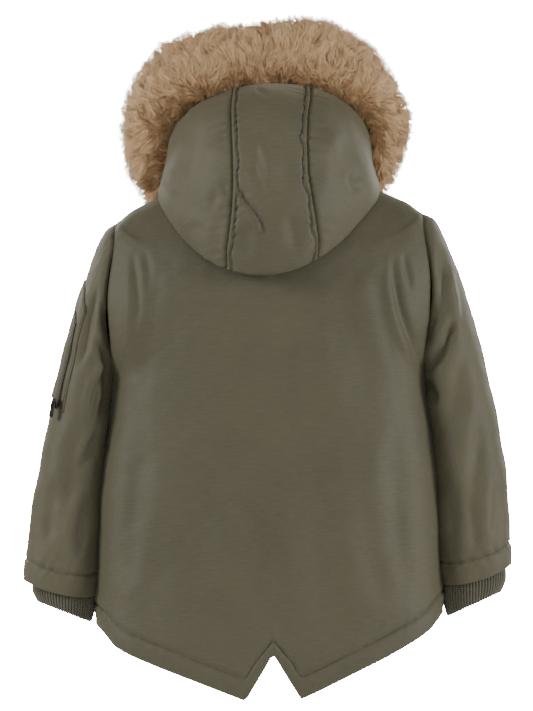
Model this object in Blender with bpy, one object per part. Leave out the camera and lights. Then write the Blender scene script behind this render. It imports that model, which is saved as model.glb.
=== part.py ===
"""Fur trimmed parka for a small child, filled out as if worn and open at neck, hem and cuffs.

Metres in the finished meshes, millimetres in the sizes below. +Z is up, the front faces -Y and the
wearer's left is +X. The origin is the middle of the neck, where the wearer's shoulders carry the coat.
"""
import math

import bmesh
import bpy
from mathutils import Matrix, Vector

MM = 0.001
CLOTH = 2.0               # wall of the quilt-backed shell cloth
KNIT = 2.4                # wall of the ribbed cuffs
SEAM_GAP = 0.3            # clear distance between pieces sewn together
LEAN = 0.033              # the coat hangs a little lower on the wearer's left
BODY_SQUARE = 2.8         # superellipse exponent of the body's rings
ZIP_OPENING = 5.0         # half the opening between the two fronts

UNDERARM_Z = -186.0
ARMHOLE_X, ARMHOLE_BOW = 173.0, 10.5
ARMHOLE_Z, ARMHOLE_HALF_HEIGHT, ARMHOLE_HALF_DEPTH = -100.0, 86.0, 45.0
SHOULDER_TIP_Z, SHOULDER_CROWN = -14.0, 4.5
NECK_HALF_WIDTH, NECK_SIDE_Z = 70.0, 24.0
HOOD_ROLL = 0.05          # the hood's fold hangs lower on the wearer's left
NECK_LIFT = 1.0           # the hood's neck edge above the body's

# rings of the body below the underarm
BODY = (
    ("z", "half_width", "back_depth", "front_depth"),
    (-560, 203.0, 96.0, 89.0),
    (-480, 198.0, 94.0, 87.0),
    (-440, 193.5, 93.0, 86.0),
    (-400, 190.0, 91.5, 84.5),
    (-350, 188.0, 90.0, 83.0),
    (-310, 186.0, 88.5, 82.0),
    (-270, 181.0, 87.5, 81.0),
    (-225, 174.9, 86.6, 80.0),
    (-203, 173.3, 86.2, 79.4),
    (-186, 173.0, 86.0, 79.0),
)
# the middle of the back and front above the underarm: level 1 underarm, 2 shoulder tip, 3 neck
YOKE = (
    ("level", "back_y", "back_z", "front_y", "front_z"),
    (1.00, 86.0, -186, 79.0, -186),
    (1.25, 85.8, -155, 78.5, -163),
    (1.50, 85.3, -124, 78.1, -140),
    (1.75, 84.0, -93, 77.8, -117),
    (2.00, 81.0, -64, 77.3, -95),
    (2.25, 77.5, -45, 76.5, -77),
    (2.50, 73.0, -27, 76.0, -60),
    (2.75, 68.0, -10, 75.0, -44),
    (3.00, 62.0, 6, 74.0, -28),
)
# the fishtail hem of the back, either side of its notch
HEM_MIDDLE_X, HEM_TIP, HEM_NOTCH_Z, HEM_TIP_Z = -5.5, 31.5, -505.0, -555.5
HEM = (
    ("from_middle", "z"),
    (31.5, -555.5), (54, -546.0), (87, -532.0), (131, -513.5), (175, -489.0), (192, -472.0), (206, -461.0),
)
FRONT_HEM_SIDE_Z, FRONT_HEM_MIDDLE_Z = -461.0, -452.0
# sleeve rings run from the armhole to the hem, each between its inner and its outer edge
SLEEVE = (
    ("along", "inner_x", "inner_z", "outer_x", "outer_z", "half_depth"),
    (0.00, 173.0, -186, 173.0, -14, 45.0),
    (0.06, 175.5, -194, 186.0, -24, 46.5),
    (0.14, 177.0, -206, 201.0, -54, 48.0),
    (0.25, 179.5, -226, 217.0, -97, 48.5),
    (0.38, 183.5, -256, 234.5, -154, 48.0),
    (0.53, 188.5, -298, 250.5, -222, 46.5),
    (0.69, 191.0, -344, 263.0, -291, 44.5),
    (0.84, 192.5, -388, 270.5, -353, 42.0),
    (1.00, 193.5, -435, 275.5, -415, 40.0),
)
SLEEVE_HEM_DROOP = 7.0
CUFF = (
    ("along", "inner_x", "inner_z", "outer_x", "outer_z", "half_depth"),
    (0.0, 196.2, -412, 270.6, -394, 36.9),
    (0.3, 197.5, -432, 268.0, -412, 34.0),
    (0.7, 198.0, -450, 268.5, -428, 33.0),
    (1.0, 201.5, -464, 263.5, -439, 30.0),
)
# rings of the hood run from its face opening (0) over the crown, down the back and under to the fold
HOOD = (
    ("v", "half_width", "side_y", "side_z", "back_y", "back_z", "chin_y", "chin_z"),
    (0.00, 112.0, -58, 76, -18, 134, -88.0, 20),
    (0.15, 114.0, -40, 72, 20, 138, -87.0, 12),
    (0.35, 116.0, -14, 60, 78, 119, -85.5, 3),
    (0.55, 119.0, 6, 43, 112, 66, -83.0, -8),
    (0.72, 123.0, 13, 28, 122, 0, -80.5, -16),
    (0.84, 126.0, 15, 18, 119, -52, -78.0, -21),
    (0.91, 124.0, 11, 11, 107, -80, -76.5, -24),
)
FOLD_V, RETURN_V, UNDER_V = 0.91, 0.955, 0.98
RETURN = {RETURN_V: (2.62, 2.12, 5.0, 8.0, -76.2, -24.6), UNDER_V: (2.84, 2.60, 3.2, 3.2, -75.2, -25.8)}
HOOD_SEAM = 69.5          # angle round the hood of the two centre panel seams

# fur band's section at the hood's edge: forward of the edge, and out from the hood
FUR_SECTION = ((-26, 1.4), (-36, 14), (-38, 36), (-28, 60), (-4, 74), (20, 68), (38, 46), (42, 18),
               (30, -5), (11, -12), (0.9, -7), (0.9, 1.4))
FUR_SIDE_REACH = 0.66     # its reach at the sides, of that at the crown
FUR_BACK_V = 0.085        # where its rear edge is sewn on the hood

PULL_TAB = {"width": 6.4, "thick": 1.4, "bar": 1.4, "slot_w": 4.2, "slot_h": 3.4}
FRONT_TAB_LENGTH, SLEEVE_TAB_LENGTH = 24.0, 15.0
SLIDER = {"width": 7.6, "length": 11.0, "height": 3.0, "loop_w": 3.0, "loop_h": 3.8, "loop_l": 5.2, "hole": 2.4}

OLIVE = (0.112, 0.104, 0.066)
OLIVE_KNIT = (0.078, 0.074, 0.050)
FUR_TAN = (0.46, 0.33, 0.21)
DARK_METAL = (0.035, 0.034, 0.030)


def table_value(table, at, name):
    """Smooth value of a named column at a place along the table's first column."""
    column = table[0].index(name)
    keys = [row[0] for row in table[1:]]
    values = [row[column] for row in table[1:]]
    at = min(max(at, keys[0]), keys[-1])
    k = max(i for i in range(len(keys) - 1) if keys[i] <= at)
    span = keys[k + 1] - keys[k]

    def slope(i):
        low, high = max(i - 1, 0), min(i + 1, len(keys) - 1)
        return (values[high] - values[low]) / (keys[high] - keys[low])

    t = (at - keys[k]) / span
    start = (2 * t ** 3 - 3 * t ** 2 + 1) * values[k] + (t ** 3 - 2 * t ** 2 + t) * span * slope(k)
    end = (3 * t ** 2 - 2 * t ** 3) * values[k + 1] + (t ** 3 - t ** 2) * span * slope(k + 1)
    return start + end


def smooth_step(low, high, at):
    """Zero below low, one above high, smooth between."""
    t = min(max((at - low) / (high - low), 0.0), 1.0)
    return t * t * (3 - 2 * t)


def mix(a, b, t):
    """Straight mix of two numbers or vectors."""
    return a * (1 - t) + b * t


def power(value, exponent):
    """Power of a number that may be a hair below zero."""
    return max(value, 0.0) ** exponent


def armhole(theta):
    """Armhole seam: -90 underarm, 0 middle of the back edge, 90 shoulder tip."""
    cos, sin = math.cos(math.radians(theta)), math.sin(math.radians(theta))
    return Vector((ARMHOLE_X + ARMHOLE_BOW * cos ** 4, ARMHOLE_HALF_DEPTH * cos,
                   ARMHOLE_Z + ARMHOLE_HALF_HEIGHT * sin))


def shoulder(q):
    """Shoulder seam from its tip (0) to the neck (1)."""
    z = mix(SHOULDER_TIP_Z, NECK_SIDE_Z, q) + SHOULDER_CROWN * math.sin(math.pi * q)
    return Vector((mix(ARMHOLE_X, NECK_HALF_WIDTH, q), 0.0, z))


def back_hem_z(x):
    """Height of the back's hem, with its notch and two tips."""
    d = abs(x - HEM_MIDDLE_X)
    if d < HEM_TIP:
        return mix(HEM_NOTCH_Z, HEM_TIP_Z, d / HEM_TIP)
    return table_value(HEM, d, "z")


def front_hem_z(x):
    """Height of the front's hem, a little higher at the zip."""
    return mix(FRONT_HEM_MIDDLE_Z, FRONT_HEM_SIDE_Z, min(abs(x) / 190.0, 1.0) ** 2)


def panel_point(u, level, face):
    """Point of the body's cloth: u 0 middle to 1 side, level 0 hem, 1 underarm, 2 shoulder, 3 neck."""
    f = min(abs(u), 1.0)
    side = math.copysign(1.0, u)
    hem_z = back_hem_z if face == "back" else front_hem_z
    if level <= 1.0:
        reach = power(math.sin(math.pi / 2 * f), 2 / BODY_SQUARE)
        low = hem_z(side * 198.0 * reach)
        z = mix(low, UNDERARM_Z, level)
        x = table_value(BODY, z, "half_width") * reach
        y = table_value(BODY, z, face + "_depth") * power(math.cos(math.pi / 2 * f), 2 / BODY_SQUARE)
    else:
        edge = armhole(-90 + 180 * (level - 1)) if level <= 2.0 else shoulder(level - 2)
        square = mix(BODY_SQUARE, 2.0, smooth_step(1.0, 2.5, level))
        middle_y = table_value(YOKE, level, face + "_y")
        middle_z = table_value(YOKE, level, face + "_z")
        wrap = math.acos(power(edge.y / middle_y, square / 2))
        inward = power(math.cos(wrap * f), 2 / square)
        x = edge.x * power(math.sin(wrap * f), 2 / square) / power(math.sin(wrap), 2 / square)
        y = middle_y * inward
        falling = (y - edge.y) / (middle_y - edge.y)
        z = mix(edge.z, middle_z, power(falling, mix(1.0, 2.0, smooth_step(1.4, 2.4, level))))
    if face == "front":
        edge_x = max(panel_edge_x(level), 1.0)
        return Vector((side * (ZIP_OPENING + x * (edge_x - ZIP_OPENING) / edge_x), -y, z))
    return Vector((side * x, y, z))


def panel_edge_x(level):
    """Half width of the body at its side seam, armhole or shoulder seam."""
    if level <= 1.0:
        return table_value(BODY, mix(FRONT_HEM_SIDE_Z, UNDERARM_Z, level), "half_width")
    if level <= 2.0:
        return armhole(-90 + 180 * (level - 1)).x
    return shoulder(level - 2).x


def sleeve_ring(table, along, theta, square, side):
    """Point on a ring of a sleeve or cuff: -90 inner edge, 0 back, 90 outer edge, 180 front."""
    inner = Vector((table_value(table, along, "inner_x"), 0, table_value(table, along, "inner_z")))
    outer = Vector((table_value(table, along, "outer_x"), 0, table_value(table, along, "outer_z")))
    sin, cos = math.sin(math.radians(theta)), math.cos(math.radians(theta))
    across = math.copysign(power(abs(sin), 2 / square), sin)
    deep = math.copysign(power(abs(cos), 2 / square), cos)
    point = (inner + outer) / 2 + (outer - inner) / 2 * across
    point.y += table_value(table, along, "half_depth") * deep
    return Vector((side * point.x, point.y, point.z))


def sleeve_point(theta, along, side):
    """Point of the sleeve's cloth; its first ring is the armhole."""
    point = sleeve_ring(SLEEVE, along, theta, 2.0 + 0.3 * along, side)
    cos = math.cos(math.radians(theta))
    point.x += side * ARMHOLE_BOW * cos ** 4 * (1 - smooth_step(0.0, 0.4, along))
    point.z -= SLEEVE_HEM_DROOP * cos * cos * along ** 4
    return point


def neck_point(phi):
    """Neck seam: -90 centre front, 0 side, 90 centre back, on the wearer's left."""
    g = math.sin(phi)
    if g >= 0:
        y, z = table_value(YOKE, 3.0, "back_y") * g, table_value(YOKE, 3.0, "back_z")
    else:
        y, z = table_value(YOKE, 3.0, "front_y") * g, table_value(YOKE, 3.0, "front_z")
    return Vector((NECK_HALF_WIDTH * math.cos(phi), y, mix(NECK_SIDE_Z, z, g * g) + NECK_LIFT))


def hood_row(phi, v):
    """Point on a free ring of the hood."""
    g = math.sin(phi)
    middle = Vector((0, table_value(HOOD, v, "side_y"), table_value(HOOD, v, "side_z")))
    back = Vector((0, table_value(HOOD, v, "back_y"), table_value(HOOD, v, "back_z")))
    chin = Vector((0, table_value(HOOD, v, "chin_y"), table_value(HOOD, v, "chin_z")))
    point = middle + (back - chin) / 2 * g + ((back + chin) / 2 - middle) * g * g
    point.x = table_value(HOOD, v, "half_width") * power(math.cos(phi), 0.96)
    return point


def hood_return(phi, v):
    """Point on a ring of the layer that lies under the fold, on the back and shoulders."""
    level_side, level_back, clear_side, clear_back, chin_y, chin_z = RETURN[v]
    g = math.sin(phi)
    level = mix(level_side, level_back, max(g, 0.0) ** 1.5)
    u = min(max(1 - phi / (math.pi / 2), 0.0), 1.0)
    on_body = panel_point(u, level, "back") if g > 0 else shoulder(level - 2)
    away = Vector((0.15, 0.55 * max(g, 0) + 0.1, 0.85)).normalized()
    on_body += away * mix(clear_side, clear_back, max(g, 0.0))
    if g >= 0:
        return on_body
    chin = Vector((0.0, chin_y, chin_z))
    return Vector((on_body.x * math.cos(phi), mix(on_body.y, chin.y, -g), mix(on_body.z, chin.z, g * g)))


def hood_point(phi, v, side=1.0):
    """Point of the hood's cloth: phi -90 chin, 0 side, 90 middle; v 0 face opening to 1 neck seam."""
    rows = [(row[0], hood_row) for row in HOOD[1:]] + [(RETURN_V, hood_return), (UNDER_V, hood_return)]
    keys = [row[0] for row in rows] + [1.0]
    k = max(i for i in range(len(keys) - 1) if keys[i] <= v)

    def control(i):
        i = min(max(i, 0), len(keys) - 1)
        return neck_point(phi) if i == len(keys) - 1 else rows[i][1](phi, keys[i])

    before, start, end, after = control(k - 1), control(k), control(k + 1), control(k + 2)
    span = keys[k + 1] - keys[k]
    t = (v - keys[k]) / span
    slope_start = (end - before) / (keys[k + 1] - keys[max(k - 1, 0)]) * span
    slope_end = (after - start) / (keys[min(k + 2, len(keys) - 1)] - keys[k]) * span
    point = start * (2 * t ** 3 - 3 * t ** 2 + 1) + slope_start * (t ** 3 - 2 * t ** 2 + t)
    point += end * (3 * t ** 2 - 2 * t ** 3) + slope_end * (t ** 3 - t ** 2)
    roll = smooth_step(0.5, 0.84, v) * (1 - smooth_step(FOLD_V, 1.0, v)) * max(math.sin(phi), 0.0)
    point.z -= HOOD_ROLL * roll * side * point.x
    if phi < 0:
        widest = max(hood_width(v), 60.0)
        point.x = ZIP_OPENING + point.x * (widest - ZIP_OPENING) / widest
    return Vector((side * point.x, point.y, point.z))


def hood_width(v):
    """Half width of the hood at a ring's side."""
    if v <= FOLD_V:
        return table_value(HOOD, v, "half_width")
    return mix(124.0, NECK_HALF_WIDTH, (v - FOLD_V) / (1 - FOLD_V))


def lean(point):
    """The hanging coat's slight roll, in metres."""
    return Vector((point.x, point.y, point.z - LEAN * point.x)) * MM


def material(name, colour, roughness, metallic=0.0):
    """Plain finish for a sub-part."""
    made = bpy.data.materials.new(name)
    made.use_nodes = True
    shader = made.node_tree.nodes["Principled BSDF"]
    shader.inputs["Base Color"].default_value = (*colour, 1)
    shader.inputs["Roughness"].default_value = roughness
    shader.inputs["Metallic"].default_value = metallic
    made.diffuse_color = (*colour, 1)
    return made


def add_object(name, vertices, faces, finish):
    """One closed body from points in millimetres, its faces turned outwards."""
    mesh = bpy.data.meshes.new(name)
    mesh.from_pydata([lean(v) for v in vertices], [], faces)
    solid = bmesh.new()
    solid.from_mesh(mesh)
    bmesh.ops.triangulate(solid, faces=solid.faces)
    bmesh.ops.recalc_face_normals(solid, faces=solid.faces)
    solid.to_mesh(mesh)
    solid.free()
    mesh.shade_smooth()
    mesh.materials.append(finish)
    made = bpy.data.objects.new(name, mesh)
    bpy.context.scene.collection.objects.link(made)
    return made


def grid_normals(points, closed, outside):
    """Unit normals of a grid of points, turned to the same side as the vector outside at its middle."""
    rows, columns = len(points), len(points[0])
    normals = []
    for i in range(rows):
        line = []
        for j in range(columns):
            along = points[min(i + 1, rows - 1)][j] - points[max(i - 1, 0)][j]
            if closed:
                across = points[i][(j + 1) % columns] - points[i][(j - 1) % columns]
            else:
                across = points[i][min(j + 1, columns - 1)] - points[i][max(j - 1, 0)]
            line.append(along.cross(across).normalized())
        normals.append(line)
    middle = normals[rows // 2][0 if closed else columns // 2]
    if middle.dot(outside) < 0:
        normals = [[-n for n in line] for line in normals]
    return normals


def pull_back(points, normals, edges, closed, distance):
    """Draw chosen edges of a grid back along the cloth, to leave a seam's gap."""
    rows, columns = len(points), len(points[0])
    for edge in edges:
        if edge in ("first_row", "last_row"):
            i, next_i = (0, 1) if edge == "first_row" else (rows - 1, rows - 2)
            pairs = [((i, j), (next_i, j)) for j in range(columns)]
        else:
            j, next_j = (0, 1) if edge == "first_column" else (columns - 1, columns - 2)
            pairs = [((i, j), (i, next_j)) for i in range(rows)]
        for (i, j), (inner_i, inner_j) in pairs:
            inward = points[inner_i][inner_j] - points[i][j]
            inward -= normals[i][j] * inward.dot(normals[i][j])
            points[i][j] = points[i][j] + inward.normalized() * distance


def wall(name, points, normals, thick, finish, closed=False):
    """Cloth wall on a grid: its outer face, its inner face and its rims."""
    rows, columns = len(points), len(points[0])
    outer = [p for line in points for p in line]
    inner = [p - n * thick for pl, nl in zip(points, normals) for p, n in zip(pl, nl)]
    count = len(outer)
    faces = []
    around = columns if closed else columns - 1

    def index(i, j):
        return i * columns + j % columns

    for i in range(rows - 1):
        for j in range(around):
            quad = (index(i, j), index(i, j + 1), index(i + 1, j + 1), index(i + 1, j))
            faces.append(quad)
            faces.append(tuple(count + k for k in reversed(quad)))
    rim = [(index(0, j + 1), index(0, j)) for j in range(around)]
    rim += [(index(rows - 1, j), index(rows - 1, j + 1)) for j in range(around)]
    if not closed:
        rim += [(index(i, 0), index(i + 1, 0)) for i in range(rows - 1)]
        rim += [(index(i + 1, columns - 1), index(i, columns - 1)) for i in range(rows - 1)]
    faces += [(a, b, count + b, count + a) for a, b in rim]
    return add_object(name, outer + inner, faces, finish)


def hem_column(x):
    """Column of the back panel that reaches the hem at x."""
    return math.copysign(math.asin(power(abs(x) / 198.0, BODY_SQUARE / 2)) / (math.pi / 2), x)


def spaced(start, end, count):
    """Evenly spaced values from start up to, and without, end."""
    return [mix(start, end, i / count) for i in range(count)]


def share_seam(normals_a, cells_a, normals_b, cells_b):
    """Give two pieces the same rim direction along the seam that joins them."""
    for (ai, aj), (bi, bj) in zip(cells_a, cells_b):
        shared = (normals_a[ai][aj] + normals_b[bi][bj]).normalized()
        normals_a[ai][aj] = shared
        normals_b[bi][bj] = shared.copy()


ARM_STEPS = 12
LOW_LEVELS = spaced(0.0, 1.0, 6)
ARM_LEVELS = spaced(1.0, 2.0, ARM_STEPS)
TOP_LEVELS = spaced(2.0, 3.0, 4) + [3.0]
LEVELS = LOW_LEVELS + ARM_LEVELS + TOP_LEVELS
SLEEVE_STATIONS = (0.0, 0.05, 0.12, 0.2, 0.275, 0.35, 0.425, 0.5, 0.6, 0.72, 0.86, 1.0)
SLEEVE_THETAS = [-90 + 180 / ARM_STEPS * k for k in range(2 * ARM_STEPS)]


def build_body(finish):
    """Back and two fronts with their seam gaps, and the armhole rims that the sleeves share."""
    notch = [hem_column(HEM_MIDDLE_X + d) for d in (-HEM_TIP, 0.0, HEM_TIP)]
    back_columns = spaced(-1.0, notch[0], 7) + spaced(notch[0], notch[1], 2) + spaced(notch[1], notch[2], 2)
    back_columns += spaced(notch[2], 1.0, 7) + [1.0]
    front_columns = spaced(0.0, 1.0, 8) + [1.0]
    back = [[panel_point(u, level, "back") for u in back_columns] for level in LEVELS]
    back_normals = grid_normals(back, False, Vector((0, 1, 0)))
    last = len(back_columns) - 1
    fronts = {}
    for side in (1, -1):
        grid = [[panel_point(side * max(u, 1e-6), level, "front") for u in front_columns] for level in LEVELS]
        fronts[side] = (grid, grid_normals(grid, False, Vector((0, -1, 0))))
    sleeves = {}
    for side in (1, -1):
        grid = [[sleeve_point(theta, s, side) for theta in SLEEVE_THETAS] for s in SLEEVE_STATIONS]
        sleeves[side] = (grid, grid_normals(grid, True, Vector((-side, 0, 0))))
    first_arm, tip = len(LOW_LEVELS), len(LOW_LEVELS) + ARM_STEPS
    for side in (1, -1):
        back_edge = last if side > 0 else 0
        front_grid, front_normals = fronts[side]
        sleeve_grid, sleeve_normals = sleeves[side]
        join = [i for i in range(len(LEVELS)) if i <= first_arm or i >= tip]
        front_edge = len(front_columns) - 1
        share_seam(back_normals, [(i, back_edge) for i in join], front_normals, [(i, front_edge) for i in join])
        arm = range(first_arm, tip + 1)
        share_seam(back_normals, [(i, back_edge) for i in arm], sleeve_normals,
                   [(0, i - first_arm) for i in arm])
        inner_arm = range(first_arm + 1, tip)
        share_seam(front_normals, [(i, front_edge) for i in inner_arm], sleeve_normals,
                   [(0, 2 * ARM_STEPS - (i - first_arm)) for i in inner_arm])
        for i, station in ((first_arm, 0), (tip, ARM_STEPS)):
            front_normals[i][front_edge] = sleeve_normals[0][station].copy()
    half = SEAM_GAP / 2 + 0.02
    pull_back(back, back_normals, ("first_column", "last_column"), False, half)
    wall("back_panel", back, back_normals, CLOTH, finish)
    for side, word in ((1, "left"), (-1, "right")):
        grid, normals = fronts[side]
        pull_back(grid, normals, ("last_column",), False, half)
        wall("front_panel_" + word, grid, normals, CLOTH, finish)
        grid, normals = sleeves[side]
        pull_back(grid, normals, ("first_row",), True, half)
        wall("sleeve_" + word, grid, normals, CLOTH, finish, closed=True)
    return sleeves


def build_cuffs(finish):
    """Ribbed cuffs, sewn inside the sleeve hems and standing out below them."""
    for side, word in ((1, "left"), (-1, "right")):
        grid = []
        for along in (0.0, 0.15, 0.4, 0.7, 0.9, 1.0):
            grid.append([sleeve_ring(CUFF, along, theta, 2.2, side) for theta in SLEEVE_THETAS])
        normals = grid_normals(grid, True, Vector((-side, 0, 0)))
        wall("rib_cuff_" + word, grid, normals, KNIT, finish, closed=True)


def build_hood(finish):
    """Centre panel and two sides of the hood."""
    stations = [0.0, 0.05, 0.1, 0.15, 0.22, 0.29, 0.36, 0.43, 0.5, 0.57, 0.64, 0.71, 0.77, 0.82, 0.86,
                0.89, 0.91, 0.93, 0.955, 0.98, 1.0]
    seam = math.radians(HOOD_SEAM)
    start = math.radians(-89.0)
    side_angles = [mix(start, seam, (i / 10) ** 0.9) for i in range(11)]
    middle_angles = [mix(seam, math.pi - seam, i / 4) for i in range(5)]

    middle = [[hood_any(phi, v) for phi in middle_angles] for v in stations]
    middle_normals = grid_normals(middle, False, Vector((0, 1, 0.2)))
    sides = {}
    for side in (1, -1):
        grid = [[hood_point(phi, v, side) for phi in side_angles] for v in stations]
        sides[side] = (grid, grid_normals(grid, False, Vector((side, 0, 0))))
        edge = 0 if side > 0 else 4
        cells = range(len(stations))
        share_seam(middle_normals, [(i, edge) for i in cells], sides[side][1], [(i, 10) for i in cells])
    half = SEAM_GAP / 2 + 0.02
    pull_back(middle, middle_normals, ("first_column", "last_column"), False, half)
    wall("hood_centre_panel", middle, middle_normals, CLOTH, finish)
    for side, word in ((1, "left"), (-1, "right")):
        grid, normals = sides[side]
        pull_back(grid, normals, ("last_column",), False, half)
        wall("hood_side_" + word, grid, normals, CLOTH, finish)


def hood_any(phi, v):
    """Point of the hood for any angle from the left chin (-90) over the crown (90) to the right (270)."""
    if phi > math.pi / 2:
        return hood_point(math.pi - phi, v, -1.0)
    return hood_point(phi, v)


def build_fur(finish):
    """Fur trim: one solid of its reach, round the face opening from cheek to cheek."""
    first = math.radians(-52)
    steps = 26
    rings = []
    for k in range(steps + 1):
        phi = mix(first, math.pi - first, k / steps)
        edge = hood_any(phi, 0.0)
        seat = hood_any(phi, FUR_BACK_V)
        forward = (edge - seat).normalized()
        ring_way = (hood_any(phi + 0.03, 0.0) - hood_any(phi - 0.03, 0.0)).normalized()
        out = ring_way.cross(forward).normalized()
        if out.dot(edge - Vector((0, edge.y, 60))) < 0:
            out = -out
        high = max(math.sin(phi), 0.0) if phi < math.pi / 2 else max(math.sin(math.pi - phi), 0.0)
        reach = mix(FUR_SIDE_REACH, 1.0, high ** 1.5)
        taper = mix(0.8, 1.0, power(math.sin(math.pi * k / steps), 0.5))
        ring = []
        for ahead, away in FUR_SECTION:
            scale = reach * taper if away > 2 else 1.0
            ring.append(edge + forward * ahead + out * away * scale)
        rings.append(ring)
    points = [p for ring in rings for p in ring]
    count = len(FUR_SECTION)
    faces = []
    for k in range(steps):
        for j in range(count):
            a, b = k * count + j, k * count + (j + 1) % count
            faces.append((a, b, b + count, a + count))
    faces.append(tuple(range(count)))
    faces.append(tuple(reversed([steps * count + j for j in range(count)])))
    add_object("fur_trim", points, faces, finish)


def sleeve_sample(grid, normals, theta, along):
    """Point and normal on the faceted sleeve between its own grid points."""
    i = max(k for k in range(len(SLEEVE_STATIONS) - 1) if SLEEVE_STATIONS[k] <= along)
    s = (along - SLEEVE_STATIONS[i]) / (SLEEVE_STATIONS[i + 1] - SLEEVE_STATIONS[i])
    place = (theta + 90) / (180 / ARM_STEPS)
    j = int(place)
    t = place - j

    def blend(field):
        return mix(mix(field[i][j], field[i][j + 1], t), mix(field[i + 1][j], field[i + 1][j + 1], t), s)

    return blend(grid), blend(normals).normalized()


def on_sleeve(name, sleeve, thetas, alongs, lift, thick, finish):
    """Piece that lies on the sleeve, made from the sleeve's points moved out."""
    points, outs = [], []
    for along in alongs:
        samples = [sleeve_sample(*sleeve, theta, along) for theta in thetas]
        points.append([p + n * (lift + thick) for p, n in samples])
        outs.append([n for _, n in samples])
    return wall(name, points, outs, thick, finish)


def build_pocket(sleeve, cloth, dark):
    """Utility pocket on the wearer's left sleeve: patch, zipped welt and its chain."""
    patch_thetas = [30 + 15 * k for k in range(7)]
    patch_alongs = (0.2, 0.275, 0.35, 0.425, 0.5)
    on_sleeve("sleeve_pocket_patch", sleeve, patch_thetas, patch_alongs, 0.4, 1.4, cloth)
    on_sleeve("sleeve_pocket_welt", sleeve, (46.5, 53, 60, 67), patch_alongs[1:], 2.3, 1.3, cloth)
    on_sleeve("sleeve_pocket_zip", sleeve, (40, 42.5, 45), patch_alongs[1:], 2.3, 1.0, dark)


def box_faces(low, high):
    """Corners and faces of a box."""
    corners = [Vector((x, y, z)) for x in (low[0], high[0]) for y in (low[1], high[1]) for z in (low[2], high[2])]
    faces = [(0, 1, 3, 2), (4, 6, 7, 5), (0, 4, 5, 1), (2, 3, 7, 6), (0, 2, 6, 4), (1, 5, 7, 3)]
    return corners, faces


def frame_faces(low, high, hole_low, hole_high, axis):
    """A rectangular frame: a plate with one rectangular hole through it along an axis."""
    a, b = [i for i in range(3) if i != axis]
    points, faces = [], []
    for level in (low[axis], high[axis]):
        for lo, hi in ((low, high), (hole_low, hole_high)):
            for pa, pb in ((lo[a], lo[b]), (hi[a], lo[b]), (hi[a], hi[b]), (lo[a], hi[b])):
                point = [0.0, 0.0, 0.0]
                point[axis], point[a], point[b] = level, pa, pb
                points.append(Vector(point))
    for k in range(4):
        n = (k + 1) % 4
        faces.append((k, n, 4 + n, 4 + k))
        faces.append((8 + k, 12 + k, 12 + n, 8 + n))
        faces.append((k, 8 + k, 8 + n, n))
        faces.append((4 + k, 4 + n, 12 + n, 12 + k))
    return points, faces


def build_puller(prefix, base, up, out, tab_length, tab_up, finish):
    """Zip slider with a loop, and the pull tab whose bar turns in that loop.

    base is the middle of the slider's underside, up runs along the zip and out leaves the cloth.
    The tab hangs opposite to tab_up.
    """
    across = up.cross(out).normalized()
    to_place = Matrix((across, out, up)).transposed()

    def place(points):
        return [base + to_place @ p for p in points]

    s, t = SLIDER, PULL_TAB
    points, faces = box_faces((-s["width"] / 2, 0, -s["length"] / 2), (s["width"] / 2, s["height"], s["length"] / 2))
    body = add_object(prefix + "_slider", place(points), faces, finish)
    top = s["height"] + s["loop_h"]
    rim = (s["loop_l"] - s["hole"]) / 2
    points, faces = frame_faces((-s["loop_w"] / 2, s["height"] - 0.8, -s["loop_l"] / 2),
                                (s["loop_w"] / 2, top, s["loop_l"] / 2),
                                (-s["loop_w"] / 2, top - rim - s["hole"], -s["hole"] / 2),
                                (s["loop_w"] / 2, top - rim, s["hole"] / 2), 0)
    loop = add_object(prefix + "_loop_guide", place(points), faces, finish)
    loop.hide_render = True
    loop.display_type = "WIRE"
    union = body.modifiers.new("loop", "BOOLEAN")
    union.operation = "UNION"
    union.object = loop
    pin = Vector((0, top - rim - s["hole"] / 2, 0))
    half = t["bar"] / 2
    slot_low = -half - t["slot_h"]
    points, faces = frame_faces((-t["width"] / 2, -t["thick"] / 2, -half - tab_length),
                                (t["width"] / 2, t["thick"] / 2, half),
                                (-t["slot_w"] / 2, -t["thick"] / 2, slot_low),
                                (t["slot_w"] / 2, t["thick"] / 2, -half), 1)
    axis_place = base + to_place @ pin
    tab_turn = Matrix((across, tab_up.cross(across).normalized() * -1, tab_up)).transposed()
    tab = add_object(prefix + "_pull_tab", [axis_place + tab_turn @ p for p in points], faces, finish)
    tab_origin = lean(axis_place)
    tab.data.transform(Matrix.Translation(-tab_origin))
    tab.location = tab_origin
    return tab


def centre_front():
    """Places (y, z) up the centre front, from the hem to the hood's chin, and where the neck is."""
    levels = [0.01] + LEVELS[2:len(LOW_LEVELS) + ARM_STEPS:2] + TOP_LEVELS[:-1] + [2.97]
    path = [panel_point(1e-6, level, "front") for level in levels]
    path += [hood_point(math.radians(-89.0), v) for v in (0.98, 0.93, 0.82, 0.64, 0.43, 0.22, 0.08)]
    return [Vector((0, p.y, p.z)) for p in path]


def strip(name, path, x_low, x_high, deep_low, deep_high, finish):
    """Straight-sided strip that follows the centre front at a depth inside the cloth's face."""
    rings = []
    for k, place in enumerate(path):
        way = (path[min(k + 1, len(path) - 1)] - path[max(k - 1, 0)]).normalized()
        inward = Vector((0, way.z, -way.y))
        corners = ((x_low, deep_low), (x_high, deep_low), (x_high, deep_high), (x_low, deep_high))
        rings.append([place + inward * d + Vector((x, 0, 0)) for x, d in corners])
    points = [p for ring in rings for p in ring]
    faces = [tuple(range(4)), tuple(reversed([4 * (len(path) - 1) + j for j in range(4)]))]
    for k in range(len(path) - 1):
        faces += [(4 * k + j, 4 * k + (j + 1) % 4, 4 * k + 4 + (j + 1) % 4, 4 * k + 4 + j) for j in range(4)]
    add_object(name, points, faces, finish)


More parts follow.
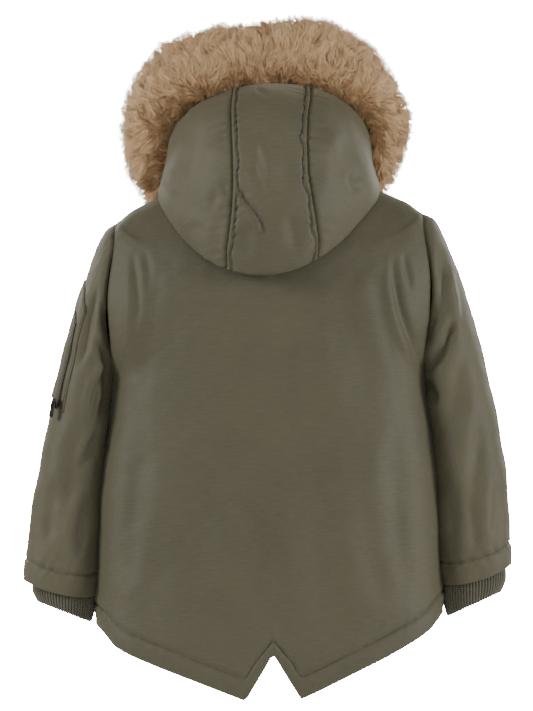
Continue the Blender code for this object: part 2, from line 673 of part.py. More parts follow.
def build_front_zip(cloth, dark):
    """Closed front zip: two tapes behind the fronts' edges, its chain, slider and pull tab."""
    path = centre_front()
    strip("front_zip_tape_left", path, 2.9, 8.5, 3.4, 4.3, cloth)
    strip("front_zip_tape_right", path, -8.5, -2.9, 3.4, 4.3, cloth)
    strip("front_zip_chain", path, -2.6, 2.6, 1.4, 4.3, dark)
    low, high = path[-2], path[-1]
    up = (high - low).normalized()
    out = Vector((0, -up.z, up.y))
    base = mix(low, high, 0.3) - out * 1.0
    build_puller("front_zip", base, up, out, FRONT_TAB_LENGTH, Vector((0, 0, 1)), dark)


def main():
    """Build every piece of the coat."""
    for old in list(bpy.data.objects):
        bpy.data.objects.remove(old, do_unlink=True)
    cloth = material("olive_cloth", OLIVE, 0.62)
    knit = material("olive_rib_knit", OLIVE_KNIT, 0.9)
    fur = material("tan_fur", FUR_TAN, 0.95)
    dark = material("dark_metal", DARK_METAL, 0.4, 0.8)
    sleeves = build_body(cloth)
    build_cuffs(knit)
    build_hood(cloth)
    build_fur(fur)
    build_pocket(sleeves[1], cloth, dark)
    point, out = sleeve_sample(*sleeves[1], 42.5, 0.49)
    higher, _ = sleeve_sample(*sleeves[1], 42.5, 0.475)
    up = higher - point
    up = (up - out * up.dot(out)).normalized()
    build_puller("sleeve_zip", point + out * 4.1, up, out, SLEEVE_TAB_LENGTH, up, dark)
    build_front_zip(cloth, dark)


main()
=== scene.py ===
"""Looks of a child's fur trimmed parka: cloth shells, knit cuffs, fur ruff, seams and zips."""
import logging
import math
from dataclasses import dataclass, field
from enum import Enum

import bmesh
import bpy
import numpy as np
from mathutils import Matrix, Vector


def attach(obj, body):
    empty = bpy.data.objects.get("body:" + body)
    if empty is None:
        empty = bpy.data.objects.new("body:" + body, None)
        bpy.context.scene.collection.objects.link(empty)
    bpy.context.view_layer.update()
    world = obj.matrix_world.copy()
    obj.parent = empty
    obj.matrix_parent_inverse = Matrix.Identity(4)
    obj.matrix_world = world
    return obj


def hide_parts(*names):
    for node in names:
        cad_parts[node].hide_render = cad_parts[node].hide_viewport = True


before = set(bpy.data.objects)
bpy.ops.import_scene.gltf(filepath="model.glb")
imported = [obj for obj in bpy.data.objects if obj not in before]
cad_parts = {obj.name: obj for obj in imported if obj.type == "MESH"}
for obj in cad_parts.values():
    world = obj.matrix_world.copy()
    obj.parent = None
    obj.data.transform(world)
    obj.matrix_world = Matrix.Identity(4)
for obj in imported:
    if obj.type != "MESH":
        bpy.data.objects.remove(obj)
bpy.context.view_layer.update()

LOG = logging.getLogger("parka")
MM = 0.001
COAT = "coat"
FOLD_STRENGTH = 2.3
Array = np.ndarray
Colour = tuple[float, float, float, float]
Piece, Material = bpy.types.Object, bpy.types.Material
Tree, Node, Socket = bpy.types.NodeTree, bpy.types.Node, bpy.types.NodeSocket


class Face(Enum):
    """Which half of the body a panel covers."""

    BACK = "back"
    FRONT = "front"


class Side(Enum):
    """The wearer's sides; the value is the sign of X."""

    LEFT = 1
    RIGHT = -1

    @property
    def word(self) -> str:
        """Lower-case name, as used in piece names."""
        return self.name.lower()


def smooth_step(low: float, high: float, at: Array) -> Array:
    """Zero below low, one above high, smooth between.

    Args:
        low: where the step starts.
        high: where it ends.
        at: values to test.

    Returns:
        The step's value at each of them.
    """
    t = np.clip((np.asarray(at, float) - low) / (high - low), 0.0, 1.0)
    return t * t * (3 - 2 * t)


def power(value: Array, exponent: float) -> Array:
    """Power of numbers that may be a hair below zero."""
    return np.maximum(value, 0.0) ** exponent


def mix(a: Array, b: Array, t: Array) -> Array:
    """Straight mix of two values."""
    return a * (1 - t) + b * t


def unit(vectors: Array) -> Array:
    """Vectors scaled to length one."""
    return vectors / np.maximum(np.linalg.norm(vectors, axis=-1, keepdims=True), 1e-9)


def points_of(x: Array, y: Array, z: Array) -> Array:
    """Stack three coordinate arrays into points."""
    return np.stack(np.broadcast_arrays(x, y, z), axis=-1).astype(float)


@dataclass(frozen=True)
class Sizes:
    """A short table of sizes: a row for each section, a named column for each size."""

    columns: tuple[str, ...]
    rows: tuple[tuple[float, ...], ...]

    def value(self, at: Array, name: str) -> Array:
        """Smooth value of a named column.

        Args:
            at: places along the first column.
            name: the column read.

        Returns:
            The column's value at each place.
        """
        table = np.asarray(self.rows, float)
        keys, values = table[:, 0], table[:, self.columns.index(name)]
        at = np.clip(np.asarray(at, float), keys[0], keys[-1])
        k = np.clip(np.searchsorted(keys, at, side="right") - 1, 0, len(keys) - 2)
        low, high = np.maximum(np.arange(len(keys)) - 1, 0), np.minimum(np.arange(len(keys)) + 1, len(keys) - 1)
        slope = (values[high] - values[low]) / (keys[high] - keys[low])
        span = keys[k + 1] - keys[k]
        t = (at - keys[k]) / span
        start = (2 * t ** 3 - 3 * t ** 2 + 1) * values[k] + (t ** 3 - 2 * t ** 2 + t) * span * slope[k]
        end = (3 * t ** 2 - 2 * t ** 3) * values[k + 1] + (t ** 3 - t ** 2) * span * slope[k + 1]
        return start + end


@dataclass(frozen=True)
class CoatForm:
    """The filled-out coat's form in millimetres, the same cut as its solid frame."""

    lean: float = 0.033
    square: float = 2.8
    zip_opening: float = 5.0
    underarm_z: float = -186.0
    armhole_x: float = 173.0
    armhole_bow: float = 10.5
    armhole_z: float = -100.0
    armhole_half_height: float = 86.0
    armhole_half_depth: float = 45.0
    shoulder_tip_z: float = -14.0
    shoulder_crown: float = 4.5
    neck_half_width: float = 70.0
    neck_side_z: float = 24.0
    neck_lift: float = 1.0
    hood_roll: float = 0.05
    hem_middle_x: float = -4.5
    hem_tip: float = 30.0
    hem_drop_left: float = 4.5
    hem_rise_right: float = 3.5
    hem_notch_z: float = -505.0
    hem_tip_z: float = -555.5
    front_hem_side_z: float = -461.0
    front_hem_middle_z: float = -452.0
    sleeve_hem_droop: float = 7.0
    fold_v: float = 0.91
    body: Sizes = Sizes(
        ("z", "half_width", "back_depth", "front_depth"),
        ((-560, 203.0, 96.0, 89.0), (-480, 198.0, 94.0, 87.0), (-440, 193.5, 93.0, 86.0),
         (-400, 190.0, 91.5, 84.5), (-350, 188.0, 90.0, 83.0), (-310, 186.0, 88.5, 82.0),
         (-270, 181.0, 87.5, 81.0), (-225, 174.9, 86.6, 80.0), (-203, 173.3, 86.2, 79.4),
         (-186, 173.0, 86.0, 79.0)))
    yoke: Sizes = Sizes(
        ("level", "back_y", "back_z", "front_y", "front_z"),
        ((1.00, 86.0, -186, 79.0, -186), (1.25, 85.8, -155, 78.5, -163), (1.50, 85.3, -124, 78.1, -140),
         (1.75, 84.0, -93, 77.8, -117), (2.00, 81.0, -64, 77.3, -95), (2.25, 77.5, -45, 76.5, -77),
         (2.50, 73.0, -27, 76.0, -60), (2.75, 68.0, -10, 75.0, -44), (3.00, 62.0, 6, 74.0, -28)))
    hem: Sizes = Sizes(
        ("from_middle", "z"),
        ((31.5, -555.5), (54, -546.0), (87, -532.0), (131, -513.5), (175, -489.0), (192, -472.0), (206, -461.0)))
    sleeve: Sizes = Sizes(
        ("along", "inner_x", "inner_z", "outer_x", "outer_z", "half_depth"),
        ((0.00, 173.0, -186, 173.0, -14, 45.0), (0.06, 175.5, -194, 186.0, -24, 46.5),
         (0.14, 177.0, -206, 201.0, -54, 48.0), (0.25, 179.5, -226, 217.0, -97, 48.5),
         (0.38, 183.5, -256, 234.5, -154, 48.0), (0.53, 188.5, -298, 250.5, -222, 46.5),
         (0.69, 191.0, -344, 263.0, -291, 44.5), (0.84, 192.5, -388, 270.5, -353, 42.0),
         (1.00, 193.5, -435, 275.5, -415, 40.0)))
    cuff: Sizes = Sizes(
        ("along", "inner_x", "inner_z", "outer_x", "outer_z", "half_depth"),
        ((0.0, 196.2, -412, 270.6, -394, 36.9), (0.3, 197.5, -432, 268.0, -412, 34.0),
         (0.7, 198.0, -450, 268.5, -428, 33.0), (1.0, 201.5, -464, 263.5, -439, 30.0)))
    hood: Sizes = Sizes(
        ("v", "half_width", "side_y", "side_z", "back_y", "back_z", "chin_y", "chin_z"),
        ((0.00, 112.0, -58, 76, -18, 134, -88.0, 20), (0.15, 114.0, -40, 72, 20, 138, -87.0, 12),
         (0.35, 116.0, -14, 60, 78, 119, -85.5, 3), (0.55, 119.0, 6, 43, 112, 66, -83.0, -8),
         (0.72, 123.0, 13, 28, 122, 0, -80.5, -16), (0.84, 126.0, 15, 18, 119, -52, -78.0, -21),
         (0.91, 124.0, 11, 11, 107, -80, -76.5, -24)))
    hood_return: Sizes = Sizes(
        ("v", "level_side", "level_back", "clear_side", "clear_back", "chin_y", "chin_z"),
        ((0.955, 2.62, 2.12, 5.0, 8.0, -76.2, -24.6), (0.98, 2.84, 2.60, 3.2, 3.2, -75.2, -25.8)))

    def armhole(self, theta: Array) -> Array:
        """Armhole seam: -90 underarm, 0 middle of its back, 90 shoulder tip."""
        cos, sin = np.cos(np.radians(theta)), np.sin(np.radians(theta))
        return points_of(self.armhole_x + self.armhole_bow * cos ** 4, self.armhole_half_depth * cos,
                         self.armhole_z + self.armhole_half_height * sin)

    def shoulder(self, q: Array) -> Array:
        """Shoulder seam from its tip (0) to the neck (1)."""
        z = mix(self.shoulder_tip_z, self.neck_side_z, q) + self.shoulder_crown * np.sin(np.pi * q)
        return points_of(mix(self.armhole_x, self.neck_half_width, q), np.zeros_like(q), z)

    def hem_z(self, x: Array, face: Face) -> Array:
        """Height of the hem: fishtail with a notch at the back, nearly straight at the front."""
        if face is Face.FRONT:
            return mix(self.front_hem_middle_z, self.front_hem_side_z, np.minimum(np.abs(x) / 190.0, 1.0) ** 2)
        away = np.abs(x - self.hem_middle_x)
        notch = mix(self.hem_notch_z, self.hem_tip_z, away / self.hem_tip)
        uneven = self.hem_rise_right * smooth_step(40, 150, -x) - self.hem_drop_left * smooth_step(110, 190, x)
        return np.where(away < self.hem_tip, notch, self.hem.value(away, "z") + uneven)

    def panel(self, u: Array, level: Array, face: Face) -> Array:
        """Points of the body's cloth.

        Args:
            u: from -1 at the right side over 0 at the middle to 1 at the left side.
            level: 0 hem, 1 underarm, 2 shoulder tip, 3 neck.
            face: back or front.

        Returns:
            The points, in millimetres.
        """
        u, level = np.broadcast_arrays(np.asarray(u, float), np.asarray(level, float))
        f, sign = np.minimum(np.abs(u), 1.0), np.where(u < 0, -1.0, 1.0)
        reach = power(np.sin(np.pi / 2 * f), 2 / self.square)
        low_z = mix(self.hem_z(sign * 198.0 * reach, face), self.underarm_z, np.minimum(level, 1.0))
        low_x = self.body.value(low_z, "half_width") * reach
        low_y = self.body.value(low_z, face.value + "_depth") * power(np.cos(np.pi / 2 * f), 2 / self.square)
        up = np.maximum(level, 1.0)
        edge = np.where((up <= 2.0)[..., None], self.armhole(-90 + 180 * (np.minimum(up, 2.0) - 1)),
                        self.shoulder(np.maximum(up - 2, 0.0)))
        square = mix(self.square, 2.0, smooth_step(1.0, 2.5, up))
        middle_y = self.yoke.value(up, face.value + "_y")
        middle_z = self.yoke.value(up, face.value + "_z")
        wrap = np.arccos(np.clip(power(edge[..., 1] / middle_y, square / 2), 0, 1))
        high_y = middle_y * power(np.cos(wrap * f), 2 / square)
        high_x = edge[..., 0] * power(np.sin(wrap * f), 2 / square) / power(np.sin(wrap), 2 / square)
        falling = np.clip((high_y - edge[..., 1]) / (middle_y - edge[..., 1]), 0, 1)
        high_z = mix(edge[..., 2], middle_z, falling ** mix(1.0, 2.0, smooth_step(1.4, 2.4, up)))
        low = level <= 1.0
        x, y, z = (np.where(low, a, b) for a, b in ((low_x, high_x), (low_y, high_y), (low_z, high_z)))
        if face is Face.BACK:
            return points_of(sign * x, y, z)
        side_z = mix(self.front_hem_side_z, self.underarm_z, np.minimum(level, 1.0))
        edge_x = np.where(low, self.body.value(side_z, "half_width"), edge[..., 0])
        return points_of(sign * (self.zip_opening + x * (edge_x - self.zip_opening) / edge_x), -y, z)

    def tube(self, table: Sizes, along: Array, theta: Array, square: Array, side: Side) -> Array:
        """Points on the rings of a sleeve or cuff: -90 inner edge, 0 back, 90 outer edge, 180 front."""
        sin, cos = np.sin(np.radians(theta)), np.cos(np.radians(theta))
        across = np.sign(sin) * power(np.abs(sin), 2 / square)
        deep = np.sign(cos) * power(np.abs(cos), 2 / square)
        inner_x, outer_x = table.value(along, "inner_x"), table.value(along, "outer_x")
        inner_z, outer_z = table.value(along, "inner_z"), table.value(along, "outer_z")
        x = (inner_x + outer_x) / 2 + (outer_x - inner_x) / 2 * across
        z = (inner_z + outer_z) / 2 + (outer_z - inner_z) / 2 * across
        return points_of(side.value * x, table.value(along, "half_depth") * deep, z)

    def sleeve_points(self, theta: Array, along: Array, side: Side) -> Array:
        """Points of a sleeve's cloth, from the armhole (0) to the hem (1)."""
        points = self.tube(self.sleeve, along, theta, 2.0 + 0.3 * along, side)
        cos = np.cos(np.radians(theta))
        points[..., 0] += side.value * self.armhole_bow * cos ** 4 * (1 - smooth_step(0.0, 0.4, along))
        points[..., 2] -= self.sleeve_hem_droop * cos * cos * along ** 4
        return points

    def neck(self, phi: Array) -> Array:
        """Neck seam: -90 centre front, 0 side, 90 centre back."""
        g = np.sin(phi)
        back_y, front_y = self.yoke.value(3.0, "back_y"), self.yoke.value(3.0, "front_y")
        back_z, front_z = self.yoke.value(3.0, "back_z"), self.yoke.value(3.0, "front_z")
        y = np.where(g >= 0, back_y, front_y) * g
        z = mix(self.neck_side_z, np.where(g >= 0, back_z, front_z), g * g) + self.neck_lift
        return points_of(self.neck_half_width * np.cos(phi), y, z)

    def hood_ring(self, phi: Array, v: float) -> Array:
        """Points on one free ring of the hood."""
        g = np.sin(phi)
        middle_y, middle_z = self.hood.value(v, "side_y"), self.hood.value(v, "side_z")
        back_y, back_z = self.hood.value(v, "back_y"), self.hood.value(v, "back_z")
        chin_y, chin_z = self.hood.value(v, "chin_y"), self.hood.value(v, "chin_z")
        y = middle_y + (back_y - chin_y) / 2 * g + ((back_y + chin_y) / 2 - middle_y) * g * g
        z = middle_z + (back_z - chin_z) / 2 * g + ((back_z + chin_z) / 2 - middle_z) * g * g
        return points_of(self.hood.value(v, "half_width") * power(np.cos(phi), 0.96), y, z)

    def hood_under(self, phi: Array, v: float) -> Array:
        """Points on a ring of the layer that lies under the fold, on the back and shoulders."""
        g = np.sin(phi)
        behind = np.maximum(g, 0.0)
        size = {name: self.hood_return.value(v, name) for name in self.hood_return.columns}
        level = mix(size["level_side"], size["level_back"], behind ** 1.5)
        u = np.clip(1 - phi / (np.pi / 2), 0.0, 1.0)
        body = np.where((g > 0)[..., None], self.panel(u, level, Face.BACK), self.shoulder(level - 2))
        away = unit(points_of(np.full_like(g, 0.15), 0.55 * behind + 0.1, np.full_like(g, 0.85)))
        body = body + away * mix(size["clear_side"], size["clear_back"], behind)[..., None]
        ahead = points_of(body[..., 0] * np.cos(phi), mix(body[..., 1], size["chin_y"], -g),
                          mix(body[..., 2], size["chin_z"], g * g))
        return np.where((g >= 0)[..., None], body, ahead)

    def hood_points(self, phi: Array, v: Array) -> Array:
        """Points of the hood's cloth.

        Args:
            phi: angle round the hood in radians: -90 degrees left chin, 90 middle, 270 right chin.
            v: 0 face opening to 1 neck seam.

        Returns:
            The points, in millimetres.
        """
        phi, v = np.broadcast_arrays(np.asarray(phi, float), np.asarray(v, float))
        side = np.where(phi > np.pi / 2, -1.0, 1.0)
        phi = np.where(phi > np.pi / 2, np.pi - phi, phi)
        keys = np.array([row[0] for row in self.hood.rows] + [row[0] for row in self.hood_return.rows] + [1.0])
        rings = [self.hood_ring(phi, row[0]) for row in self.hood.rows]
        rings += [self.hood_under(phi, row[0]) for row in self.hood_return.rows] + [self.neck(phi)]
        stack = np.stack(rings)
        last = len(keys) - 1
        k = np.clip(np.searchsorted(keys, v, side="right") - 1, 0, last - 1)

        def pick(i: Array) -> Array:
            return np.take_along_axis(stack, np.clip(i, 0, last)[None, ..., None], axis=0)[0]

        before, start, end, after = pick(k - 1), pick(k), pick(k + 1), pick(k + 2)
        span = (keys[k + 1] - keys[k])[..., None]
        t = (v[..., None] - keys[k][..., None]) / span
        slope_start = (end - before) / (keys[k + 1] - keys[np.maximum(k - 1, 0)])[..., None] * span
        slope_end = (after - start) / (keys[np.minimum(k + 2, last)] - keys[k])[..., None] * span
        points = start * (2 * t ** 3 - 3 * t ** 2 + 1) + slope_start * (t ** 3 - 2 * t ** 2 + t)
        points = points + end * (3 * t ** 2 - 2 * t ** 3) + slope_end * (t ** 3 - t ** 2)
        roll = smooth_step(0.5, 0.84, v) * (1 - smooth_step(self.fold_v, 1.0, v)) * np.maximum(np.sin(phi), 0)
        points[..., 2] -= self.hood_roll * roll * side * points[..., 0]
        low = mix(124.0, self.neck_half_width, (v - self.fold_v) / (1 - self.fold_v))
        widest = np.where(v <= self.fold_v, self.hood.value(v, "half_width"), low)
        ahead = self.zip_opening + points[..., 0] * (widest - self.zip_opening) / widest
        points[..., 0] = side * np.where(phi < 0, ahead, points[..., 0])
        return points

    def settle(self, points: Array) -> Array:
        """Millimetre points with the hanging coat's slight roll, in metres."""
        settled = points.copy()
        settled[..., 2] -= self.lean * settled[..., 0]
        return settled * MM


FORM = CoatForm()


class Edge(Enum):
    """A border of a cloth grid."""

    LOW_COLUMN = "low_column"
    HIGH_COLUMN = "high_column"
    LOW_ROW = "low_row"
    HIGH_ROW = "high_row"


def lengths_along(points: Array, axis: int) -> Array:
    """Length run from the first point of each line of a grid, along an axis."""
    steps = np.linalg.norm(np.diff(points, axis=axis), axis=-1)
    start = np.zeros_like(np.take(steps, [0], axis=axis))
    return np.concatenate([start, np.cumsum(steps, axis=axis)], axis=axis)


def crowded(count: int, share: float) -> Array:
    """Places from 0 to 1 that crowd towards both ends, evenly where the share is 0."""
    t = np.linspace(0, 1, count)
    return t - share * np.sin(2 * np.pi * t) / (2 * np.pi)


def even_parameters(curve, start: Array | float, end: Array | float, places: Array) -> Array:
    """Parameters that walk a row of curves by length.

    Args:
        curve: gives points for an array of parameters, one row for each curve.
        start: first parameter, one for all or one for each curve.
        end: last parameter, the same.
        places: shares of each curve's length that are wanted.

    Returns:
        Rows of parameters.
    """
    start, end = np.broadcast_arrays(np.asarray(start, float), np.asarray(end, float))
    dense = np.linspace(np.atleast_1d(start), np.atleast_1d(end), 360, axis=1)
    run = lengths_along(curve(dense), 1)
    dense = np.broadcast_to(dense, run.shape)
    return np.array([np.interp(places * row[-1], row, t) for row, t in zip(run, dense)])


@dataclass
class ClothGrid:
    """A grid of points on a piece's outer face, in millimetres, rows upwards and columns across.

    Args:
        points: rows x columns x 3.
        outward: 1 or -1, which way the normals turn.
        around: true if the columns run all the way round a tube.
    """

    points: Array
    outward: float = 1.0
    around: bool = False
    normals: Array = field(init=False)
    across: Array = field(init=False)
    up: Array = field(init=False)

    def __post_init__(self) -> None:
        """Work out the normals and the lengths along rows and columns."""
        self.normals = self.find_normals()
        closed = self.points
        if self.around:
            closed = np.concatenate([self.points, self.points[:, :1]], axis=1)
        self.across = lengths_along(closed, 1)
        self.up = lengths_along(closed, 0)

    def find_normals(self) -> Array:
        """Unit normals of the grid, from its neighbours."""
        if self.around:
            across = np.roll(self.points, -1, axis=1) - np.roll(self.points, 1, axis=1)
        else:
            across = np.gradient(self.points, axis=1)
        return unit(np.cross(across, np.gradient(self.points, axis=0))) * self.outward

    def distance(self, edge: Edge) -> Array:
        """Distance of each point from a border, in millimetres."""
        across, up = self.across, self.up
        if self.around:
            across, up = across[:, :-1], up[:, :-1]
        if edge is Edge.LOW_COLUMN:
            return across
        if edge is Edge.HIGH_COLUMN:
            return self.across[:, -1:] - across
        if edge is Edge.LOW_ROW:
            return up
        return up[-1:] - up

    def run(self, edge: Edge) -> Array:
        """Length run along a border, for each point beside it."""
        columns = edge in (Edge.LOW_COLUMN, Edge.HIGH_COLUMN)
        grid = self.up if columns else self.across
        if self.around:
            grid = grid[:, :-1]
        return np.broadcast_to(grid, self.points.shape[:2])

    def moved(self, height: Array) -> "ClothGrid":
        """The grid moved out along its normals by a height at each point."""
        return ClothGrid(self.points + self.normals * height[..., None], self.outward, self.around)


@dataclass(frozen=True)
class Crease:
    """A fold placed on a face of the coat, as seen in plan from behind or in front.

    Args:
        path: points (x, z) in millimetres.
        width: half width of the trough.
        depth: its depth, negative for a ridge.
        lip: height of the ridge on its left side as a share of the depth.
        ends: how much of each end fades away.
        face: the side of the coat that carries it.
    """

    path: tuple[tuple[float, float], ...]
    width: float
    depth: float
    lip: float = 0.35
    ends: float = 0.35
    face: Face = Face.BACK

    def height(self, grid: ClothGrid) -> Array:
        """Height that the fold adds at each point of a grid.

        Args:
            grid: the cloth.

        Returns:
            Heights in millimetres.
        """
        x = grid.points[..., 0]
        z = grid.points[..., 2] - FORM.lean * x
        facing = grid.normals[..., 1] * (1 if self.face is Face.BACK else -1)
        nearest = np.full(x.shape, 1e9)
        signed, place = np.zeros_like(x), np.zeros_like(x)
        nodes = np.array(self.path, float)
        lengths = np.linalg.norm(np.diff(nodes, axis=0), axis=1)
        total, run = lengths.sum(), 0.0
        for start, end, length in zip(nodes[:-1], nodes[1:], lengths):
            way = (end - start) / length
            t = np.clip((x - start[0]) * way[0] + (z - start[1]) * way[1], 0, length)
            off_x, off_z = x - start[0] - way[0] * t, z - start[1] - way[1] * t
            away = np.hypot(off_x, off_z)
            side = np.sign(way[0] * off_z - way[1] * off_x)
            closer = away < nearest
            nearest = np.where(closer, away, nearest)
            signed = np.where(closer, away * side, signed)
            place = np.where(closer, (run + t) / total, place)
            run += length
        fade = smooth_step(0, self.ends, place) * (1 - smooth_step(1 - self.ends, 1, place))
        width = self.width * (0.6 + 0.4 * fade)
        trough = np.exp(-(signed / width) ** 2)
        ridge = np.exp(-((signed - 1.9 * width) / (1.2 * width)) ** 2)
        beyond = np.exp(-np.maximum(nearest - 2.4 * width, 0) ** 2 / width ** 2)
        return -self.depth * FOLD_STRENGTH * (trough - self.lip * ridge) * fade * beyond * smooth_step(-0.15, 0.3, facing)


def calm_at_tip(points: Array) -> Array:
    """Share of the folds kept: nearly none at the shoulder tips, where three seams meet."""
    near = np.abs(points[..., 0]) - FORM.armhole_x, points[..., 1], points[..., 2] - FORM.shoulder_tip_z
    return 1 - 0.9 * np.exp(-sum(part ** 2 for part in near) / 15.0 ** 2)


def eased_at_tip(points: Array, rounds: int = 40, reach: float = 22.0) -> Array:
    """Even out a grid of cloth around the shoulder tips, and keep its edges where they are.

    Args:
        points: the grid's places in millimetres.
        rounds: how many times each place moves to the middle of its neighbours.
        reach: how far from the tip the cloth is evened out.

    Returns:
        The evened places.
    """
    near = np.abs(points[..., 0]) - FORM.armhole_x, points[..., 1], points[..., 2] - FORM.shoulder_tip_z
    share = np.exp(-sum(part ** 2 for part in near) / reach ** 2)[1:-1, 1:-1, None]
    eased = points.copy()
    for _ in range(rounds):
        middle = (eased[:-2, 1:-1] + eased[2:, 1:-1] + eased[1:-1, :-2] + eased[1:-1, 2:]) / 4
        eased[1:-1, 1:-1] = mix(eased[1:-1, 1:-1], middle, share)
    return eased


def waves(points: Array, size: float, seed: int) -> Array:
    """Smooth uneven waves through space, about -1 to 1.

    Args:
        points: places in millimetres.
        size: usual distance from crest to crest.
        seed: picks the pattern.

    Returns:
        The height at each point.
    """
    dice = np.random.default_rng(seed)
    total = np.zeros(points.shape[:-1])
    for _ in range(9):
        way = unit(dice.normal(size=3)) * 2 * np.pi / (size * dice.uniform(0.75, 1.5))
        total += np.sin(points @ way + dice.uniform(0, 2 * np.pi))
    return total / 3.4


def pucker(run: Array, pitch: float, seed: int) -> Array:
    """Uneven gathers along a seam, about -1 to 1, for lengths run along it."""
    dice = np.random.default_rng(seed)
    total = np.zeros_like(run)
    for _ in range(5):
        total += np.sin(2 * np.pi * run / (pitch * dice.uniform(0.7, 1.6)) + dice.uniform(0, 2 * np.pi))
    return total / 2.6


@dataclass(frozen=True)
class SeamRoll:
    """The edge of a panel rolled down into its seam, gathered a little by the thread.

    Args:
        edge: the border that is sewn.
        dip: how deep the edge sinks.
        width: how far in the roll reaches.
        gather: height of the puckers.
        reach: how far the puckers run into the cloth.
        pitch: distance between puckers.
        seed: picks their pattern.
    """

    edge: Edge
    dip: float = 1.2
    width: float = 3.0
    gather: float = 0.45
    reach: float = 13.0
    pitch: float = 11.0
    seed: int = 1

    def height(self, grid: ClothGrid) -> Array:
        """Height that the seam adds at each point of a grid."""
        away, run = grid.distance(self.edge), grid.run(self.edge)
        roll = -self.dip * np.exp(-(away / self.width) ** 2)
        swell = np.minimum(away / (0.4 * self.reach), 1.0) * np.exp(-away / self.reach)
        return roll + self.gather * pucker(run + 0.3 * away, self.pitch, self.seed) * swell


@dataclass(frozen=True)
class StitchedLine:
    """A line of stitching that draws the cloth down, with a fuller band beside it.

    Args:
        edge: the border it follows.
        offset: its distance from that border.
        dip: depth of the groove.
        width: half width of the groove.
        fuller: how much the band between it and the border stands out.
        gather: height of the puckers beside it.
        seed: picks their pattern.
    """

    edge: Edge
    offset: float
    dip: float = 0.9
    width: float = 1.8
    fuller: float = 0.5
    gather: float = 0.3
    seed: int = 2

    def height(self, grid: ClothGrid, offset: Array | None = None) -> Array:
        """Height that the line adds at each point of a grid.

        Args:
            grid: the cloth.
            offset: distance of the line from the border, where it isn't the same all along.

        Returns:
            Heights in millimetres.
        """
        away, run = grid.distance(self.edge), grid.run(self.edge)
        line = self.offset if offset is None else offset
        from_line = away - line
        groove = -self.dip * np.exp(-(from_line / self.width) ** 2)
        band = self.fuller * np.sin(np.pi * np.clip(away / line, 0, 1)) ** 0.8
        near = np.exp(-np.abs(from_line) / 9.0)
        return groove + band + self.gather * pucker(run + 0.4 * away, 10.0, self.seed) * near


def mesh_from(name: str, corners: Array, faces: Array, uv: Array | None = None) -> Piece:
    """Make a smooth-shaded object from plain arrays.

    Args:
        name: the piece's name.
        corners: n x 3 points in metres.
        faces: m x 4 (or 3) corner numbers, turning outwards.
        uv: m x 4 x 2 lengths in metres for the cloth's own pattern.

    Returns:
        The object, at the origin.
    """
    sides = faces.shape[1]
    mesh = bpy.data.meshes.new(name)
    mesh.vertices.add(len(corners))
    mesh.vertices.foreach_set("co", np.ascontiguousarray(corners, np.float32).ravel())
    mesh.loops.add(faces.size)
    mesh.loops.foreach_set("vertex_index", np.ascontiguousarray(faces, np.int32).ravel())
    mesh.polygons.add(len(faces))
    mesh.polygons.foreach_set("loop_start", np.arange(0, faces.size, sides, dtype=np.int32))
    if uv is not None:
        layer = mesh.uv_layers.new(name="cloth")
        layer.data.foreach_set("uv", np.ascontiguousarray(uv, np.float32).ravel())
    mesh.update(calc_edges=True)
    mesh.validate()
    mesh.shade_smooth()
    piece = bpy.data.objects.new(name, mesh)
    bpy.context.scene.collection.objects.link(piece)
    return piece


